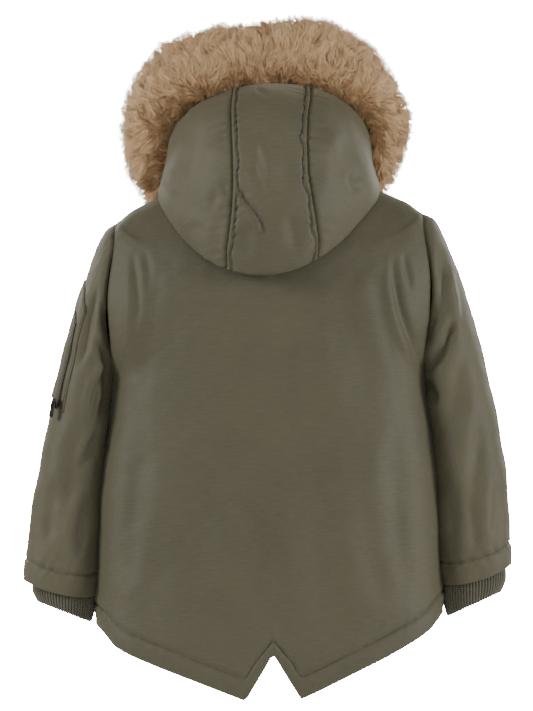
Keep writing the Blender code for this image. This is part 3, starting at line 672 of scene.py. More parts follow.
@dataclass
class Shell:
    """A closed wall of cloth on a grid: outer face, inner face and rounded rims.

    Args:
        grid: the outer face.
        thickness: the wall's thickness in millimetres.
        rim_steps: points on each rounded rim between the faces.
        level_threads: whether its threads lie level however its low row is cut.
    """

    grid: ClothGrid
    thickness: float = 2.0
    rim_steps: int = 2
    level_threads: bool = False

    def build(self, name: str) -> Piece:
        """Make the wall.

        Args:
            name: the piece's name.

        Returns:
            The finished object, in metres.
        """
        grid = self.grid
        rows, columns = grid.points.shape[:2]
        inner = grid.points - grid.normals * self.thickness
        up_way = self.outward_at_rows()
        low = [self.rim(grid.points[0], inner[0], -up_way[0], k) for k in range(1, self.rim_steps + 1)]
        high = [self.rim(grid.points[-1], inner[-1], up_way[1], k) for k in range(1, self.rim_steps + 1)]
        loop = [*grid.points, *high, *inner[::-1], *low[::-1]]
        ring = np.array(loop)
        if grid.around:
            return self.finish(name, ring, rows)
        return self.finish(name, ring, rows, [self.side_rims(0), self.side_rims(columns - 1)])

    def outward_at_rows(self) -> tuple[Array, Array]:
        """Directions in the cloth that leave it at its low and high rows."""
        points = self.grid.points
        return unit(points[1] - points[0]), unit(points[-1] - points[-2])

    def rim(self, outer: Array, inner: Array, away: Array, step: int) -> Array:
        """One line of a rounded rim between the faces."""
        angle = np.pi * step / (self.rim_steps + 1)
        middle, half = (outer + inner) / 2, (outer - inner) / 2
        reach = np.linalg.norm(half, axis=-1, keepdims=True)
        return middle + half * np.cos(angle) + away * reach * np.sin(angle) * 0.75

    def side_rims(self, column: int) -> list[Array]:
        """Lines of the rim down a side column, between the two rims at its ends."""
        points, normals = self.grid.points, self.grid.normals
        outer = points[:, column]
        inner = outer - normals[:, column] * self.thickness
        away = unit(outer - (points[:, 1] if column == 0 else points[:, -2]))
        return [self.rim(outer, inner, away, k) for k in range(1, self.rim_steps + 1)]

    def finish(self, name: str, ring: Array, rows: int, sides: list[list[Array]] | None = None) -> Piece:
        """Join the wall's lines into a closed mesh.

        Args:
            name: the piece's name.
            ring: lines round the wall, from the outer face over the high rim and inner face to the low rim.
            rows: number of lines on a face.
            sides: lines of the two side rims, for a wall that isn't a tube.

        Returns:
            The object.
        """
        lines, columns = ring.shape[:2]
        number = np.arange(lines * columns).reshape(lines, columns)
        corners = ring.reshape(-1, 3)
        below, above = number, np.roll(number, -1, axis=0)
        left = below if self.grid.around else below[:, :-1]
        span = np.roll(number, -1, axis=1) if self.grid.around else number[:, 1:]
        span_up = np.roll(span, -1, axis=0)
        left_up = above if self.grid.around else above[:, :-1]
        faces = [np.stack([left, span, span_up, left_up], axis=-1).reshape(-1, 4)]
        uv = [self.face_uv(ring)]
        if sides is not None:
            more_faces, more_uv, corners = self.close_sides(corners, number, rows, sides)
            faces += more_faces
            uv += more_uv
        faces, uv = np.concatenate(faces), np.concatenate(uv)
        if self.grid.outward < 0:
            faces, uv = faces[:, ::-1], uv[:, ::-1]
        return mesh_from(name, FORM.settle(corners), faces, uv * MM)

    def face_uv(self, ring: Array) -> Array:
        """Lengths across and up for every face of the ring of lines."""
        closed = ring
        if self.grid.around:
            closed = np.concatenate([ring, ring[:, :1]], axis=1)
        across = lengths_along(closed, 1)
        middle = across[:, across.shape[1] // 2][:, None]
        across = across - middle
        closed_up = np.concatenate([closed, closed[:1]], axis=0)
        up = lengths_along(closed_up, 0)
        if self.level_threads:
            up = up + closed[0, :, 2]
        across = np.concatenate([across, across[:1]], axis=0)
        grid = np.stack([across, up], axis=-1)
        quads = [grid[:-1, :-1], grid[:-1, 1:], grid[1:, 1:], grid[1:, :-1]]
        return np.stack(quads, axis=-2).reshape(-1, 4, 2)

    def close_sides(self, corners: Array, number: Array, rows: int, sides: list[list[Array]]) -> tuple:
        """Close the two side columns with rounded rims.

        Args:
            corners: the wall's points so far.
            number: their numbers, line by column.
            rows: number of lines on a face.
            sides: lines of each side rim.

        Returns:
            The new faces, their lengths and all the points.
        """
        faces, uvs = [], []
        high = number[rows:rows + self.rim_steps]
        low = number[-self.rim_steps:][::-1]
        inner = number[rows + self.rim_steps:2 * rows + self.rim_steps][::-1]
        for column, lines in zip((0, -1), sides):
            strips = [number[:rows, column]]
            for k, line in enumerate(lines):
                base = len(corners)
                corners = np.concatenate([corners, line[1:-1]])
                middle = np.arange(base, base + rows - 2)
                strips.append(np.concatenate([[low[k, column]], middle, [high[k, column]]]))
            strips.append(inner[:, column])
            grid = np.array(strips)
            quad = np.stack([grid[:-1, :-1], grid[1:, :-1], grid[1:, 1:], grid[:-1, 1:]], axis=-1).reshape(-1, 4)
            if column == 0:
                quad = quad[:, ::-1]
            faces.append(quad)
            place = corners[quad]
            uvs.append(np.stack([place[..., 1], place[..., 2]], axis=-1))
        return faces, uvs, corners


@dataclass(frozen=True)
class Coverage:
    """A dressed surface that other pieces are laid on, sampled by its own row and column numbers.

    Args:
        rows: parameter of each row.
        columns: parameter of each column.
        points: the surface's points in millimetres.
        outward: 1 or -1, which way its normals turn.
    """

    rows: Array
    columns: Array
    points: Array
    outward: float

    def at(self, row: Array, column: Array) -> Array:
        """Points of the surface at the given row and column parameters."""
        row, column = np.broadcast_arrays(np.asarray(row, float), np.asarray(column, float))
        r = np.interp(row, self.rows, np.arange(len(self.rows)))
        c = np.interp(column, self.columns, np.arange(len(self.columns)))
        r0 = np.clip(r.astype(int), 0, len(self.rows) - 2)
        c0 = np.clip(c.astype(int), 0, len(self.columns) - 2)
        tr, tc = (r - r0)[..., None], (c - c0)[..., None]
        low = self.points[r0, c0] * (1 - tc) + self.points[r0, c0 + 1] * tc
        high = self.points[r0 + 1, c0] * (1 - tc) + self.points[r0 + 1, c0 + 1] * tc
        return low * (1 - tr) + high * tr

    def normal(self, row: Array, column: Array, row_step: float, column_step: float) -> Array:
        """Unit normals there, from steps of the given sizes."""
        across = self.at(row, column + column_step) - self.at(row, column - column_step)
        up = self.at(row + row_step, column) - self.at(row - row_step, column)
        return unit(np.cross(across, up)) * self.outward


@dataclass
class Cloth:
    """A finished cloth piece and what is said of it.

    Args:
        piece: its object.
        nodes: the frame's nodes that it stands for.
        slot: its material slot; not used.
        flat: width and length of its cut in metres; not used.
        area: flat area of its cut in square metres.
        held: how it is held; not used.
        extra: separate pieces on it; not used.
    """

    piece: Piece
    nodes: tuple[str, ...]
    slot: str
    flat: tuple[float, float]
    area: float
    held: str = "hung"
    extra: list[Piece] = field(default_factory=list)

    def declare(self) -> None:
        """Hang the piece on the coat and hide the frame's parts that it stands for."""
        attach(self.piece, COAT)
        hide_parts(*self.nodes)


def dress(piece: Piece, material: Material) -> None:
    """Give a piece its only material."""
    piece.data.materials.clear()
    piece.data.materials.append(material)


BACK_CREASES = (
    Crease(((155, -52), (149, -84), (148, -118), (152, -150)), 5.0, 1.3, lip=0.5),
    Crease(((140, -48), (136, -74), (138, -104)), 5.0, 0.7),
    Crease(((120, -60), (132, -110), (138, -170), (140, -230)), 13.0, 1.1, lip=0.5),
    Crease(((-138, -54), (-141, -84), (-148, -120), (-158, -152), (-168, -190)), 5.0, 1.7, lip=0.5),
    Crease(((-150, -52), (-155, -74), (-161, -98)), 4.0, 1.0),
    Crease(((-120, -66), (-128, -120), (-138, -180)), 12.0, 1.0, lip=0.5),
    Crease(((96, -92), (116, -160), (120, -240)), 20.0, 1.1),
    Crease(((-84, -96), (-100, -170), (-104, -250)), 20.0, 1.0),
    Crease(((152, -210), (146, -290), (152, -380), (164, -450)), 13.0, 1.4, lip=0.5),
    Crease(((-150, -210), (-142, -290), (-146, -380), (-160, -450)), 13.0, 1.4, lip=0.5),
    Crease(((84, -250), (78, -340), (88, -450), (96, -500)), 22.0, 1.3),
    Crease(((-44, -240), (-56, -350), (-66, -450), (-70, -520)), 22.0, 1.5),
    Crease(((20, -320), (8, -420), (10, -500)), 18.0, 0.9),
    Crease(((120, -330), (126, -410), (138, -478)), 15.0, 1.0),
    Crease(((-108, -300), (-118, -400), (-130, -470)), 17.0, 1.1),
)

FRONT_CREASES = (
    Crease(((118, -120), (128, -180), (124, -240)), 12.0, 1.6, face=Face.FRONT),
    Crease(((-120, -110), (-126, -176), (-118, -250)), 13.0, 1.6, face=Face.FRONT),
    Crease(((66, -90), (84, -170), (88, -260)), 16.0, 1.4, face=Face.FRONT),
    Crease(((-60, -96), (-80, -180), (-86, -262)), 16.0, 1.5, face=Face.FRONT),
    Crease(((60, -280), (70, -350), (76, -430)), 19.0, 1.8, face=Face.FRONT),
    Crease(((-64, -270), (-72, -350), (-84, -430)), 19.0, 1.7, face=Face.FRONT),
    Crease(((140, -260), (146, -330), (154, -400)), 15.0, 1.7, face=Face.FRONT),
    Crease(((-142, -256), (-146, -330), (-156, -402)), 15.0, 1.7, face=Face.FRONT),
    Crease(((158, -52), (152, -90), (160, -140)), 6.0, 1.4, face=Face.FRONT),
    Crease(((-156, -50), (-150, -92), (-158, -142)), 6.0, 1.5, face=Face.FRONT),
)


@dataclass
class Body:
    """Back panel and two front panels.

    Args:
        back_rows: grid rows of the back below the underarm, to the shoulder tip and to the neck.
        back_columns: its columns.
        front_rows: the same for the fronts.
        front_columns: columns of each front.
        thickness: the cloth's thickness in millimetres.
    """

    cloth: Material
    back_rows: tuple[int, int, int] = (90, 44, 28)
    back_columns: int = 141
    front_rows: tuple[int, int, int] = (56, 30, 20)
    front_columns: int = 45
    thickness: float = 2.0
    hem_stitch: float = 24.0
    notch_stitch: float = 17.0
    notch_blend: float = 22.0
    front_hem_stitch: float = 22.0
    zip_stitch: float = 7.5
    fullness: float = 5.2
    fullness_reach: float = 40.0
    shoulder_fullness: float = 4.6
    lines: list[Array] = field(default_factory=list)

    @staticmethod
    def levels(rows: tuple[int, int, int]) -> Array:
        """Row levels from hem to neck, with a row on the underarm and on the shoulder tip."""
        low, middle, high = rows
        parts = [np.linspace(0, 1, low) ** 1.3, np.linspace(1, 2, middle)[1:], np.linspace(2, 3, high)[1:]]
        return np.concatenate(parts)

    @staticmethod
    def grid(levels: Array, start: float, end: float, columns: int, face: Face) -> ClothGrid:
        """Even grid of one panel between two places round the body."""
        level = levels[:, None]
        u = even_parameters(lambda t: FORM.panel(t, level, face), start, end, crowded(columns, 0.5))
        return ClothGrid(eased_at_tip(FORM.panel(u, level, face)), -1.0 if face is Face.BACK else 1.0)

    def flank(self, grid: ClothGrid, levels: Array, edge: Edge) -> Array:
        """Fullness of the body beside a side seam, where it rests against the sleeve."""
        level = levels[:, None]
        here = self.fullness * smooth_step(0.0, 0.1, level) * (1 - smooth_step(1.2, 1.5, level))
        here = here + self.shoulder_fullness * smooth_step(1.6, 2.1, level) * (1 - smooth_step(2.7, 3.0, level))
        return here * np.exp(-(grid.distance(edge) / self.fullness_reach) ** 2)

    def back(self) -> Cloth:
        """Back panel with its fishtail hem, seams and folds."""
        levels = self.levels(self.back_rows)
        grid = self.grid(levels, -1.0, 1.0, self.back_columns, Face.BACK)
        from_middle = np.abs(grid.points[..., 0] - FORM.hem_middle_x)
        offset = mix(self.notch_stitch, self.hem_stitch, smooth_step(0, self.notch_blend, from_middle))
        height = StitchedLine(Edge.LOW_ROW, self.hem_stitch, 2.2, 1.7, 1.2, 0.7, seed=11).height(grid, offset)
        seams = SeamRoll(Edge.LOW_COLUMN, 1.8, 2.6, 0.8, 15.0, seed=12).height(grid)
        seams = seams + SeamRoll(Edge.HIGH_COLUMN, 1.8, 2.6, 0.8, 15.0, seed=13).height(grid)
        height += seams * (1 - 0.75 * smooth_step(1.7, 2.1, levels[:, None]))
        height += sum(crease.height(grid) for crease in BACK_CREASES)
        height += 0.7 * waves(grid.points, 62.0, 14) + 0.22 * waves(grid.points, 21.0, 15)
        height += self.flank(grid, levels, Edge.LOW_COLUMN) + self.flank(grid, levels, Edge.HIGH_COLUMN)
        dressed = grid.moved(height * calm_at_tip(grid.points))
        self.lines.append(line_on(dressed, Edge.LOW_ROW, offset[0]))
        piece = Shell(dressed, self.thickness, level_threads=True).build("back_cloth")
        dress(piece, self.cloth)
        return Cloth(piece, ("back_panel",), "olive_cloth", (0.50, 0.60), 0.252)

    def front(self, side: Side) -> Cloth:
        """One front panel, from the zip to the side seam."""
        start, end = (1e-6, 1.0) if side is Side.LEFT else (-1.0, -1e-6)
        levels = self.levels(self.front_rows)
        grid = self.grid(levels, start, end, self.front_columns, Face.FRONT)
        zip_edge = Edge.LOW_COLUMN if side is Side.LEFT else Edge.HIGH_COLUMN
        side_edge = Edge.HIGH_COLUMN if side is Side.LEFT else Edge.LOW_COLUMN
        height = StitchedLine(Edge.LOW_ROW, self.front_hem_stitch, seed=21).height(grid)
        height += StitchedLine(zip_edge, self.zip_stitch, gather=0.35, seed=22 + side.value).height(grid)
        height += SeamRoll(side_edge, seed=25 + side.value).height(grid)
        height += SeamRoll(Edge.HIGH_ROW, seed=28).height(grid)
        height += sum(crease.height(grid) for crease in FRONT_CREASES)
        height += 0.7 * waves(grid.points, 62.0, 30) + 0.22 * waves(grid.points, 21.0, 31)
        height += self.flank(grid, levels, side_edge)
        dressed = grid.moved(height * calm_at_tip(grid.points))
        self.lines += [line_on(dressed, Edge.LOW_ROW, self.front_hem_stitch),
                       line_on(dressed, zip_edge, self.zip_stitch)]
        piece = Shell(dressed, self.thickness, level_threads=True).build(f"front_cloth_{side.word}")
        dress(piece, self.cloth)
        return Cloth(piece, (f"front_panel_{side.word}",), "olive_cloth", (0.26, 0.47), 0.106)


SLEEVE_CREASES = (
    Crease(((177, -31), (171, -40), (166, -46)), 3.2, 1.0),
    Crease(((190, -81), (199, -119), (207, -164), (219, -190)), 5.0, 2.0, lip=0.6),
    Crease(((193, -150), (181, -182), (184, -218), (197, -258)), 5.0, 3.4, lip=0.5),
    Crease(((180, -176), (194, -206), (203, -251)), 4.5, 2.2, lip=0.6),
    Crease(((186, -110), (182, -140), (177, -168)), 5.0, 2.4, lip=0.5),
    Crease(((176, -215), (180, -256), (186, -300)), 5.0, 2.4),
    Crease(((192, -250), (202, -280), (214, -300)), 5.0, 1.9, lip=0.5),
    Crease(((214, -230), (222, -300), (228, -372)), 12.0, 2.2),
    Crease(((240, -300), (247, -340), (252, -390)), 10.0, 2.0),
    Crease(((202, -316), (212, -362), (216, -404)), 7.0, 2.2, lip=0.5),
    Crease(((-201, -62), (-209, -104), (-213, -146)), 7.0, -2.2, lip=0.0),
    Crease(((-212, -120), (-198, -158), (-180, -192)), 6.0, 3.4, lip=0.5),
    Crease(((-176, -193), (-184, -208), (-192, -226)), 4.5, 2.6, lip=0.3),
    Crease(((-190, -42), (-196, -82), (-194, -120)), 5.0, 1.8),
    Crease(((-204, -70), (-214, -104), (-216, -140)), 5.0, 1.6),
    Crease(((-222, -160), (-212, -208), (-204, -262)), 12.0, 2.2),
    Crease(((-240, -218), (-236, -286), (-226, -360)), 12.0, 2.4),
    Crease(((-198, -270), (-206, -330), (-214, -396)), 9.0, 2.2),
    Crease(((-256, -300), (-258, -344), (-254, -384)), 7.0, 1.8),
    Crease(((-226, -330), (-232, -372), (-232, -402)), 7.0, 1.6),
    Crease(((210, -120), (198, -160), (184, -200)), 8.0, 2.2, face=Face.FRONT),
    Crease(((222, -190), (232, -260), (236, -330)), 13.0, 1.8, face=Face.FRONT),
    Crease(((196, -250), (202, -300), (206, -360)), 7.0, 1.5, face=Face.FRONT),
    Crease(((244, -300), (252, -346), (254, -392)), 9.0, 1.3, face=Face.FRONT),
    Crease(((-208, -124), (-196, -162), (-182, -204)), 8.0, 2.2, face=Face.FRONT),
    Crease(((-220, -196), (-230, -262), (-236, -334)), 13.0, 1.8, face=Face.FRONT),
    Crease(((-198, -246), (-204, -300), (-208, -356)), 7.0, 1.5, face=Face.FRONT),
    Crease(((-246, -296), (-252, -350), (-252, -390)), 9.0, 1.3, face=Face.FRONT),
)


@dataclass
class Sleeve:
    """One sleeve, a tube from the armhole to its stitched hem.

    Args:
        cloth: its material.
        side: the wearer's side.
        rows: grid rows along it.
        columns: grid columns round it.
        thickness: the cloth's thickness in millimetres.
        hem_stitch: height of the stitching above the hem.
    """

    cloth: Material
    side: Side
    rows: int = 116
    columns: int = 96
    thickness: float = 2.0
    hem_stitch: float = 25.0
    inner_fullness: float = 2.4
    inner_reach: float = 52.0
    fall: Sizes = Sizes(
        ("along", "left", "right"),
        ((0.0, 3.6, 3.6), (0.12, 0.0, 2.8), (0.4, -2.6, 2.6), (0.7, -1.6, 2.8), (0.88, 1.0, 1.2), (1.0, 3.6, -0.6)))
    grid: ClothGrid = field(init=False)
    along: Array = field(init=False)
    theta: Array = field(init=False)

    def __post_init__(self) -> None:
        """Shape the cloth with its seams and folds."""
        self.along = crowded(self.rows, 0.5)
        self.theta = -90 + 360 / self.columns * np.arange(self.columns)
        points = FORM.sleeve_points(self.theta[None, :], self.along[:, None], self.side)
        plain = ClothGrid(points, float(self.side.value), True)
        seed = 40 + 10 * self.side.value
        height = SeamRoll(Edge.LOW_ROW, 2.0, 2.6, 0.9, 17.0, seed=seed).height(plain)
        height += StitchedLine(Edge.HIGH_ROW, self.hem_stitch, 2.2, 1.7, 1.2, 1.1, seed=seed + 1).height(plain)
        height += sum(crease.height(plain) for crease in SLEEVE_CREASES)
        height += 0.8 * waves(points, 55.0, seed + 2) + 0.25 * waves(points, 20.0, seed + 3)
        height += self.ease()
        self.grid = plain.moved(height * calm_at_tip(points))

    def ease(self) -> Array:
        """Fullness where the sleeve rests against the body, and how its outer side falls."""
        from_inner = np.minimum(self.theta + 90, 270 - self.theta)
        inward = np.exp(-(from_inner / self.inner_reach) ** 2)
        outward = np.clip(np.cos(np.radians(self.theta - 90)), 0, 1)
        close = smooth_step(0.0, 0.08, self.along) * (1 - smooth_step(0.9, 1.0, self.along))
        fall = self.fall.value(self.along, self.side.word)
        return self.inner_fullness * close[:, None] * inward[None, :] + fall[:, None] * outward[None, :]

    def coverage(self) -> Coverage:
        """The dressed surface, for the pieces sewn on it."""
        closed = np.concatenate([self.grid.points, self.grid.points[:, :1]], axis=1)
        columns = np.append(self.theta, 270.0)
        return Coverage(self.along, columns, closed, float(self.side.value))

    def lines(self) -> list[Array]:
        """Its row of stitching above the hem."""
        line = line_on(self.grid, Edge.HIGH_ROW, self.hem_stitch)
        return [np.concatenate([line, line[:, :1]], axis=1)]

    def build(self) -> Cloth:
        """Make the sleeve's wall."""
        piece = Shell(self.grid, self.thickness).build(f"sleeve_cloth_{self.side.word}")
        dress(piece, self.cloth)
        return Cloth(piece, (f"sleeve_{self.side.word}",), "olive_cloth", (0.33, 0.43), 0.108)


HOOD_CREASES = (
    Crease(((36, 22), (27, 4), (16, -9), (8, -24), (5, -40)), 2.8, 1.6, lip=0.7, ends=0.2),
    Crease(((12, 76), (6, 54), (-6, 24)), 4.0, -1.0, lip=0.0),
    Crease(((20, 50), (14, 30), (4, 8)), 4.0, 0.8),
    Crease(((52, 22), (60, 8), (64, -10)), 5.0, 0.8),
    Crease(((100, 60), (92, 44), (90, 20)), 9.0, 1.0),
    Crease(((16, 134), (9, 127), (0, 119)), 3.2, 1.0),
    Crease(((112, 40), (104, 27), (95, 12)), 4.5, 0.9, lip=0.6),
    Crease(((53, 24), (49, 15), (46, 7)), 3.0, 1.0),
    Crease(((84, 96), (88, 58), (86, 22)), 17.0, 1.5),
    Crease(((66, 90), (66, 40), (70, -20)), 20.0, -1.4, lip=0.0),
    Crease(((-66, 92), (-70, 44), (-72, -6)), 18.0, -1.3, lip=0.0),
    Crease(((-90, 84), (-86, 50), (-92, 16)), 14.0, 1.5),
    Crease(((-100, 42), (-96, 24), (-99, 8)), 6.0, 1.4),
    Crease(((14, 100), (12, 60), (16, 20)), 15.0, 1.1),
    Crease(((-22, 96), (-20, 50), (-24, 4)), 13.0, 1.0),
    Crease(((24, -20), (28, -44), (26, -66)), 9.0, 1.0),
    Crease(((-22, -10), (-28, -34), (-30, -56)), 9.0, 1.0),
    Crease(((72, -22), (84, -30), (96, -26)), 9.0, 1.0),
)


@dataclass
class Hood:
    """Hood of a centre panel and two sides, lying back from the neck.

    Args:
        cloth: its material.
        rows: grid rows from the face opening to the neck.
        side_columns: columns of each side.
        centre_columns: columns of the centre panel.
        seam: angle of the two long seams in degrees.
        topstitch: distance of the second line of stitching from those seams.
    """

    cloth: Material
    rows: int = 128
    side_columns: int = 66
    centre_columns: int = 45
    seam: float = 69.5
    thickness: float = 2.0
    topstitch: float = 6.0
    stitch_wander: float = 1.3
    seam_radius: float = 108.0
    seam_shifts: Sizes = Sizes(
        ("down", "left", "right"),
        ((0.0, 0.0, -5.0), (0.35, 0.0, -4.5), (0.5, -0.5, -1.0), (0.7, -2.7, 1.0), (0.8, -2.5, -3.5),
         (0.9, 0.0, -8.5), (0.97, 3.0, -11.0), (1.02, 2.0, -6.0), (1.06, 0.0, 0.0), (1.1, 0.0, 0.0)))
    lines: list[Array] = field(default_factory=list)

    def rings(self) -> Array:
        """Row places from the face opening to the neck, in even steps down the middle."""
        middle = math.radians(90)
        even = np.linspace(0, 1, self.rows)
        return even_parameters(lambda t: FORM.hood_points(np.full_like(t, middle), t), 0.0, 1.0, even)[0]

    def seam_angle(self, side: Side) -> Array:
        """Angle of a long seam at each row, wandering a little as sewn."""
        down = np.minimum(self.rings() / FORM.fold_v, 1.1)
        shift = self.seam_shifts.value(down, side.word) / self.seam_radius
        shift = shift + 0.0045 * pucker(120 * down, 52.0, 66 + side.value)
        plain = self.seam if side is Side.LEFT else 180 - self.seam
        return math.radians(plain) - shift * (down < 1.06)

    def grid(self, low: Array | float, high: Array | float, columns: int) -> ClothGrid:
        """Even grid between two angles round the hood."""
        v = self.rings()[:, None]
        phi = even_parameters(lambda t: FORM.hood_points(t, v), low, high, crowded(columns, 0.4))
        return ClothGrid(FORM.hood_points(phi, v), -1.0)

    def common(self, grid: ClothGrid) -> Array:
        """Folds and soft waves of all three panels, flattened where the cloth turns under."""
        rows = self.rings()[:, None]
        shown = 1 - smooth_step(FORM.fold_v - 0.02, FORM.fold_v + 0.03, rows)
        height = sum(crease.height(grid) for crease in HOOD_CREASES)
        height = height + 0.9 * waves(grid.points, 58.0, 61) + 0.3 * waves(grid.points, 23.0, 62)
        return height * shown

    def centre(self) -> Cloth:
        """Centre panel with its two topstitched seams."""
        grid = self.grid(self.seam_angle(Side.LEFT), self.seam_angle(Side.RIGHT), self.centre_columns)
        height = self.common(grid)
        for edge, seed in ((Edge.LOW_COLUMN, 63), (Edge.HIGH_COLUMN, 64)):
            wander = self.topstitch + self.stitch_wander * pucker(grid.run(edge), 34.0, seed)
            height += SeamRoll(edge, 2.2, 1.6, 0.8, 11.0, seed=seed).height(grid)
            line = StitchedLine(edge, self.topstitch, 2.2, 1.2, 0.9, 0.9, seed + 2)
            height += line.height(grid, wander)
        dressed = grid.moved(height)
        for edge, seed in ((Edge.LOW_COLUMN, 63), (Edge.HIGH_COLUMN, 64)):
            wander = self.topstitch + self.stitch_wander * pucker(grid.run(edge), 34.0, seed)
            self.lines.append(line_on(dressed, edge, wander[:, 0]))
        piece = Shell(dressed, self.thickness).build("hood_centre_cloth")
        dress(piece, self.cloth)
        return Cloth(piece, ("hood_centre_panel",), "olive_cloth", (0.16, 0.42), 0.048)

    def half(self, side: Side) -> Cloth:
        """One side of the hood."""
        low, high = math.radians(-89.0), self.seam_angle(side)
        if side is Side.RIGHT:
            low, high = high, math.radians(269.0)
        grid = self.grid(low, high, self.side_columns)
        seam_edge = Edge.HIGH_COLUMN if side is Side.LEFT else Edge.LOW_COLUMN
        height = self.common(grid) + SeamRoll(seam_edge, 2.6, 2.1, 0.9, 17.0, seed=70 + side.value).height(grid)
        piece = Shell(grid.moved(height), self.thickness).build(f"hood_side_cloth_{side.word}")
        dress(piece, self.cloth)
        return Cloth(piece, (f"hood_side_{side.word}",), "olive_cloth", (0.24, 0.36), 0.050)


class NodePad:
    """Adds nodes to a tree, sets them and joins them.

    Args:
        tree: the node tree.
    """

    def __init__(self, tree: Tree) -> None:
        """Keep the tree."""
        self.tree = tree

    def feed(self, socket: Socket, value: object) -> None:
        """Set an input to a value or join it to a socket."""
        if isinstance(value, Socket):
            self.tree.links.new(value, socket)
        else:
            socket.default_value = value

    def fill(self, node: Node, **inputs: object) -> Node:
        """Set a node's inputs by name, with underscores for spaces, and give the node back."""
        for label, value in inputs.items():
            self.feed(next(s for s in node.inputs if s.name == label.replace("_", " ") and s.enabled), value)
        return node

    def add(self, kind: str, settings: dict[str, object] | None = None, **inputs: object) -> Node:
        """Add a node.

        Args:
            kind: the node's type.
            settings: its own properties.
            inputs: values or sockets by input name, with underscores for spaces.

        Returns:
            The node.
        """
        node = self.tree.nodes.new(kind)
        for key, value in (settings or {}).items():
            setattr(node, key, value)
        return self.fill(node, **inputs)

    def maths(self, operation: str, *values: object) -> Socket:
        """Sum of numbers or sockets."""
        node = self.add("ShaderNodeMath", {"operation": operation})
        for socket, value in zip(node.inputs, values):
            self.feed(socket, value)
        return node.outputs[0]

    def vector(self, operation: str, *values: object) -> Socket:
        """Sum of vectors or sockets."""
        node = self.add("ShaderNodeVectorMath", {"operation": operation})
        for socket, value in zip([s for s in node.inputs if s.enabled], values):
            self.feed(socket, value)
        return next(s for s in node.outputs if s.enabled)

    def noise(self, place: Socket, scale: object, detail: float, distortion: float = 0.0) -> Socket:
        """Value of a noise pattern over places."""
        pattern = self.add("ShaderNodeTexNoise", Vector=place, Scale=scale, Detail=detail, Distortion=distortion)
        return pattern.outputs["Fac"]


class GroupPad(NodePad):
    """Node group with named inputs and outputs, and the pad that fills it.

    Args:
        name: the group's name.
        kind: the tree's type.
        inputs: kind of socket and starting value by name.
        outputs: kind of socket by name.
    """

    def __init__(self, name: str, kind: str, inputs: dict[str, tuple[str, object]], outputs: dict[str, str]) -> None:
        """Start the group with its inputs and outputs."""
        super().__init__(bpy.data.node_groups.new(name, kind))
        for label, (sort, value) in inputs.items():
            socket = self.tree.interface.new_socket(name=label, in_out="INPUT", socket_type=f"NodeSocket{sort}")
            if value is not None:
                socket.default_value = value
        for label, sort in outputs.items():
            self.tree.interface.new_socket(name=label, in_out="OUTPUT", socket_type=f"NodeSocket{sort}")
        self.start, self.end = (self.tree.nodes.new(f"NodeGroup{end}") for end in ("Input", "Output"))

    def given(self, label: str) -> Socket:
        """Socket of a named input."""
        return self.start.outputs[label]


def new_material(name: str) -> tuple[Material, NodePad, Node]:
    """Make a material.

    Args:
        name: the finish's name.

    Returns:
        The material, the pad of its nodes and its main shader.
    """
    material = bpy.data.materials.new(name)
    material.use_nodes = True
    return material, NodePad(material.node_tree), material.node_tree.nodes["Principled BSDF"]


class ShaderGroups:
    """Effects that more than one finish uses, each built once."""

    def __init__(self) -> None:
        """Build the groups."""
        self.weave = self.build_weave()
        self.shade = self.build_shade()

    @staticmethod
    def build_weave() -> Tree:
        """Plain weave over the piece's own lengths: warp and weft threads that pass over each other."""
        pad = GroupPad("plain_weave", "ShaderNodeTree",
                       {"Cloth": ("Vector", None), "Threads per m": ("Float", 1500.0), "Slub": ("Float", 0.25)},
                       {"Height": "Float", "Streak": "Float"})
        cloth = pad.given("Cloth")
        stretched = pad.add("ShaderNodeMapping", Vector=cloth, Scale=(0.09, 1.0, 1.0)).outputs["Vector"]
        split = pad.add("ShaderNodeSeparateXYZ", Vector=cloth)
        turn = pad.maths("MULTIPLY", pad.given("Threads per m"), 2 * math.pi)
        warp, weft = (pad.maths("SINE", pad.maths("MULTIPLY", split.outputs[way], turn)) for way in "XY")
        cross = pad.maths("MULTIPLY", warp, weft)
        rough = pad.maths("MULTIPLY", pad.noise(cloth, 900.0, 2.0), pad.given("Slub"))
        pad.fill(pad.end, Height=pad.maths("ADD", pad.maths("MULTIPLY", cross, 0.5), rough),
                 Streak=pad.noise(stretched, 620.0, 2.0))
        return pad.tree

    @staticmethod
    def build_shade() -> Tree:
        """Uneven shade of dyed cloth: broad patches and fine flecks between two colours."""
        pad = GroupPad("dyed_shade", "ShaderNodeTree",
                       {"Place": ("Vector", None), "Dark": ("Color", None), "Light": ("Color", None),
                        "Patch": ("Float", 9.0), "Fleck": ("Float", 420.0), "Fleck share": ("Float", 0.3)},
                       {"Color": "Color", "Mask": "Float"})
        place, share = pad.given("Place"), pad.given("Fleck share")
        patch = pad.noise(place, pad.given("Patch"), 3.0, 0.4)
        fine = pad.maths("MULTIPLY", pad.noise(place, pad.given("Fleck"), 2.0), share)
        broad = pad.maths("MULTIPLY", patch, pad.maths("SUBTRACT", 1.0, share))
        spread = pad.add("ShaderNodeMapRange", From_Min=0.3, From_Max=0.7, Value=pad.maths("ADD", fine, broad))
        mask = spread.outputs["Result"]
        blend = pad.add("ShaderNodeMix", {"data_type": "RGBA"}, Factor=mask, A=pad.given("Dark"), B=pad.given("Light"))
        pad.fill(pad.end, Color=blend.outputs["Result"], Mask=mask)
        return pad.tree


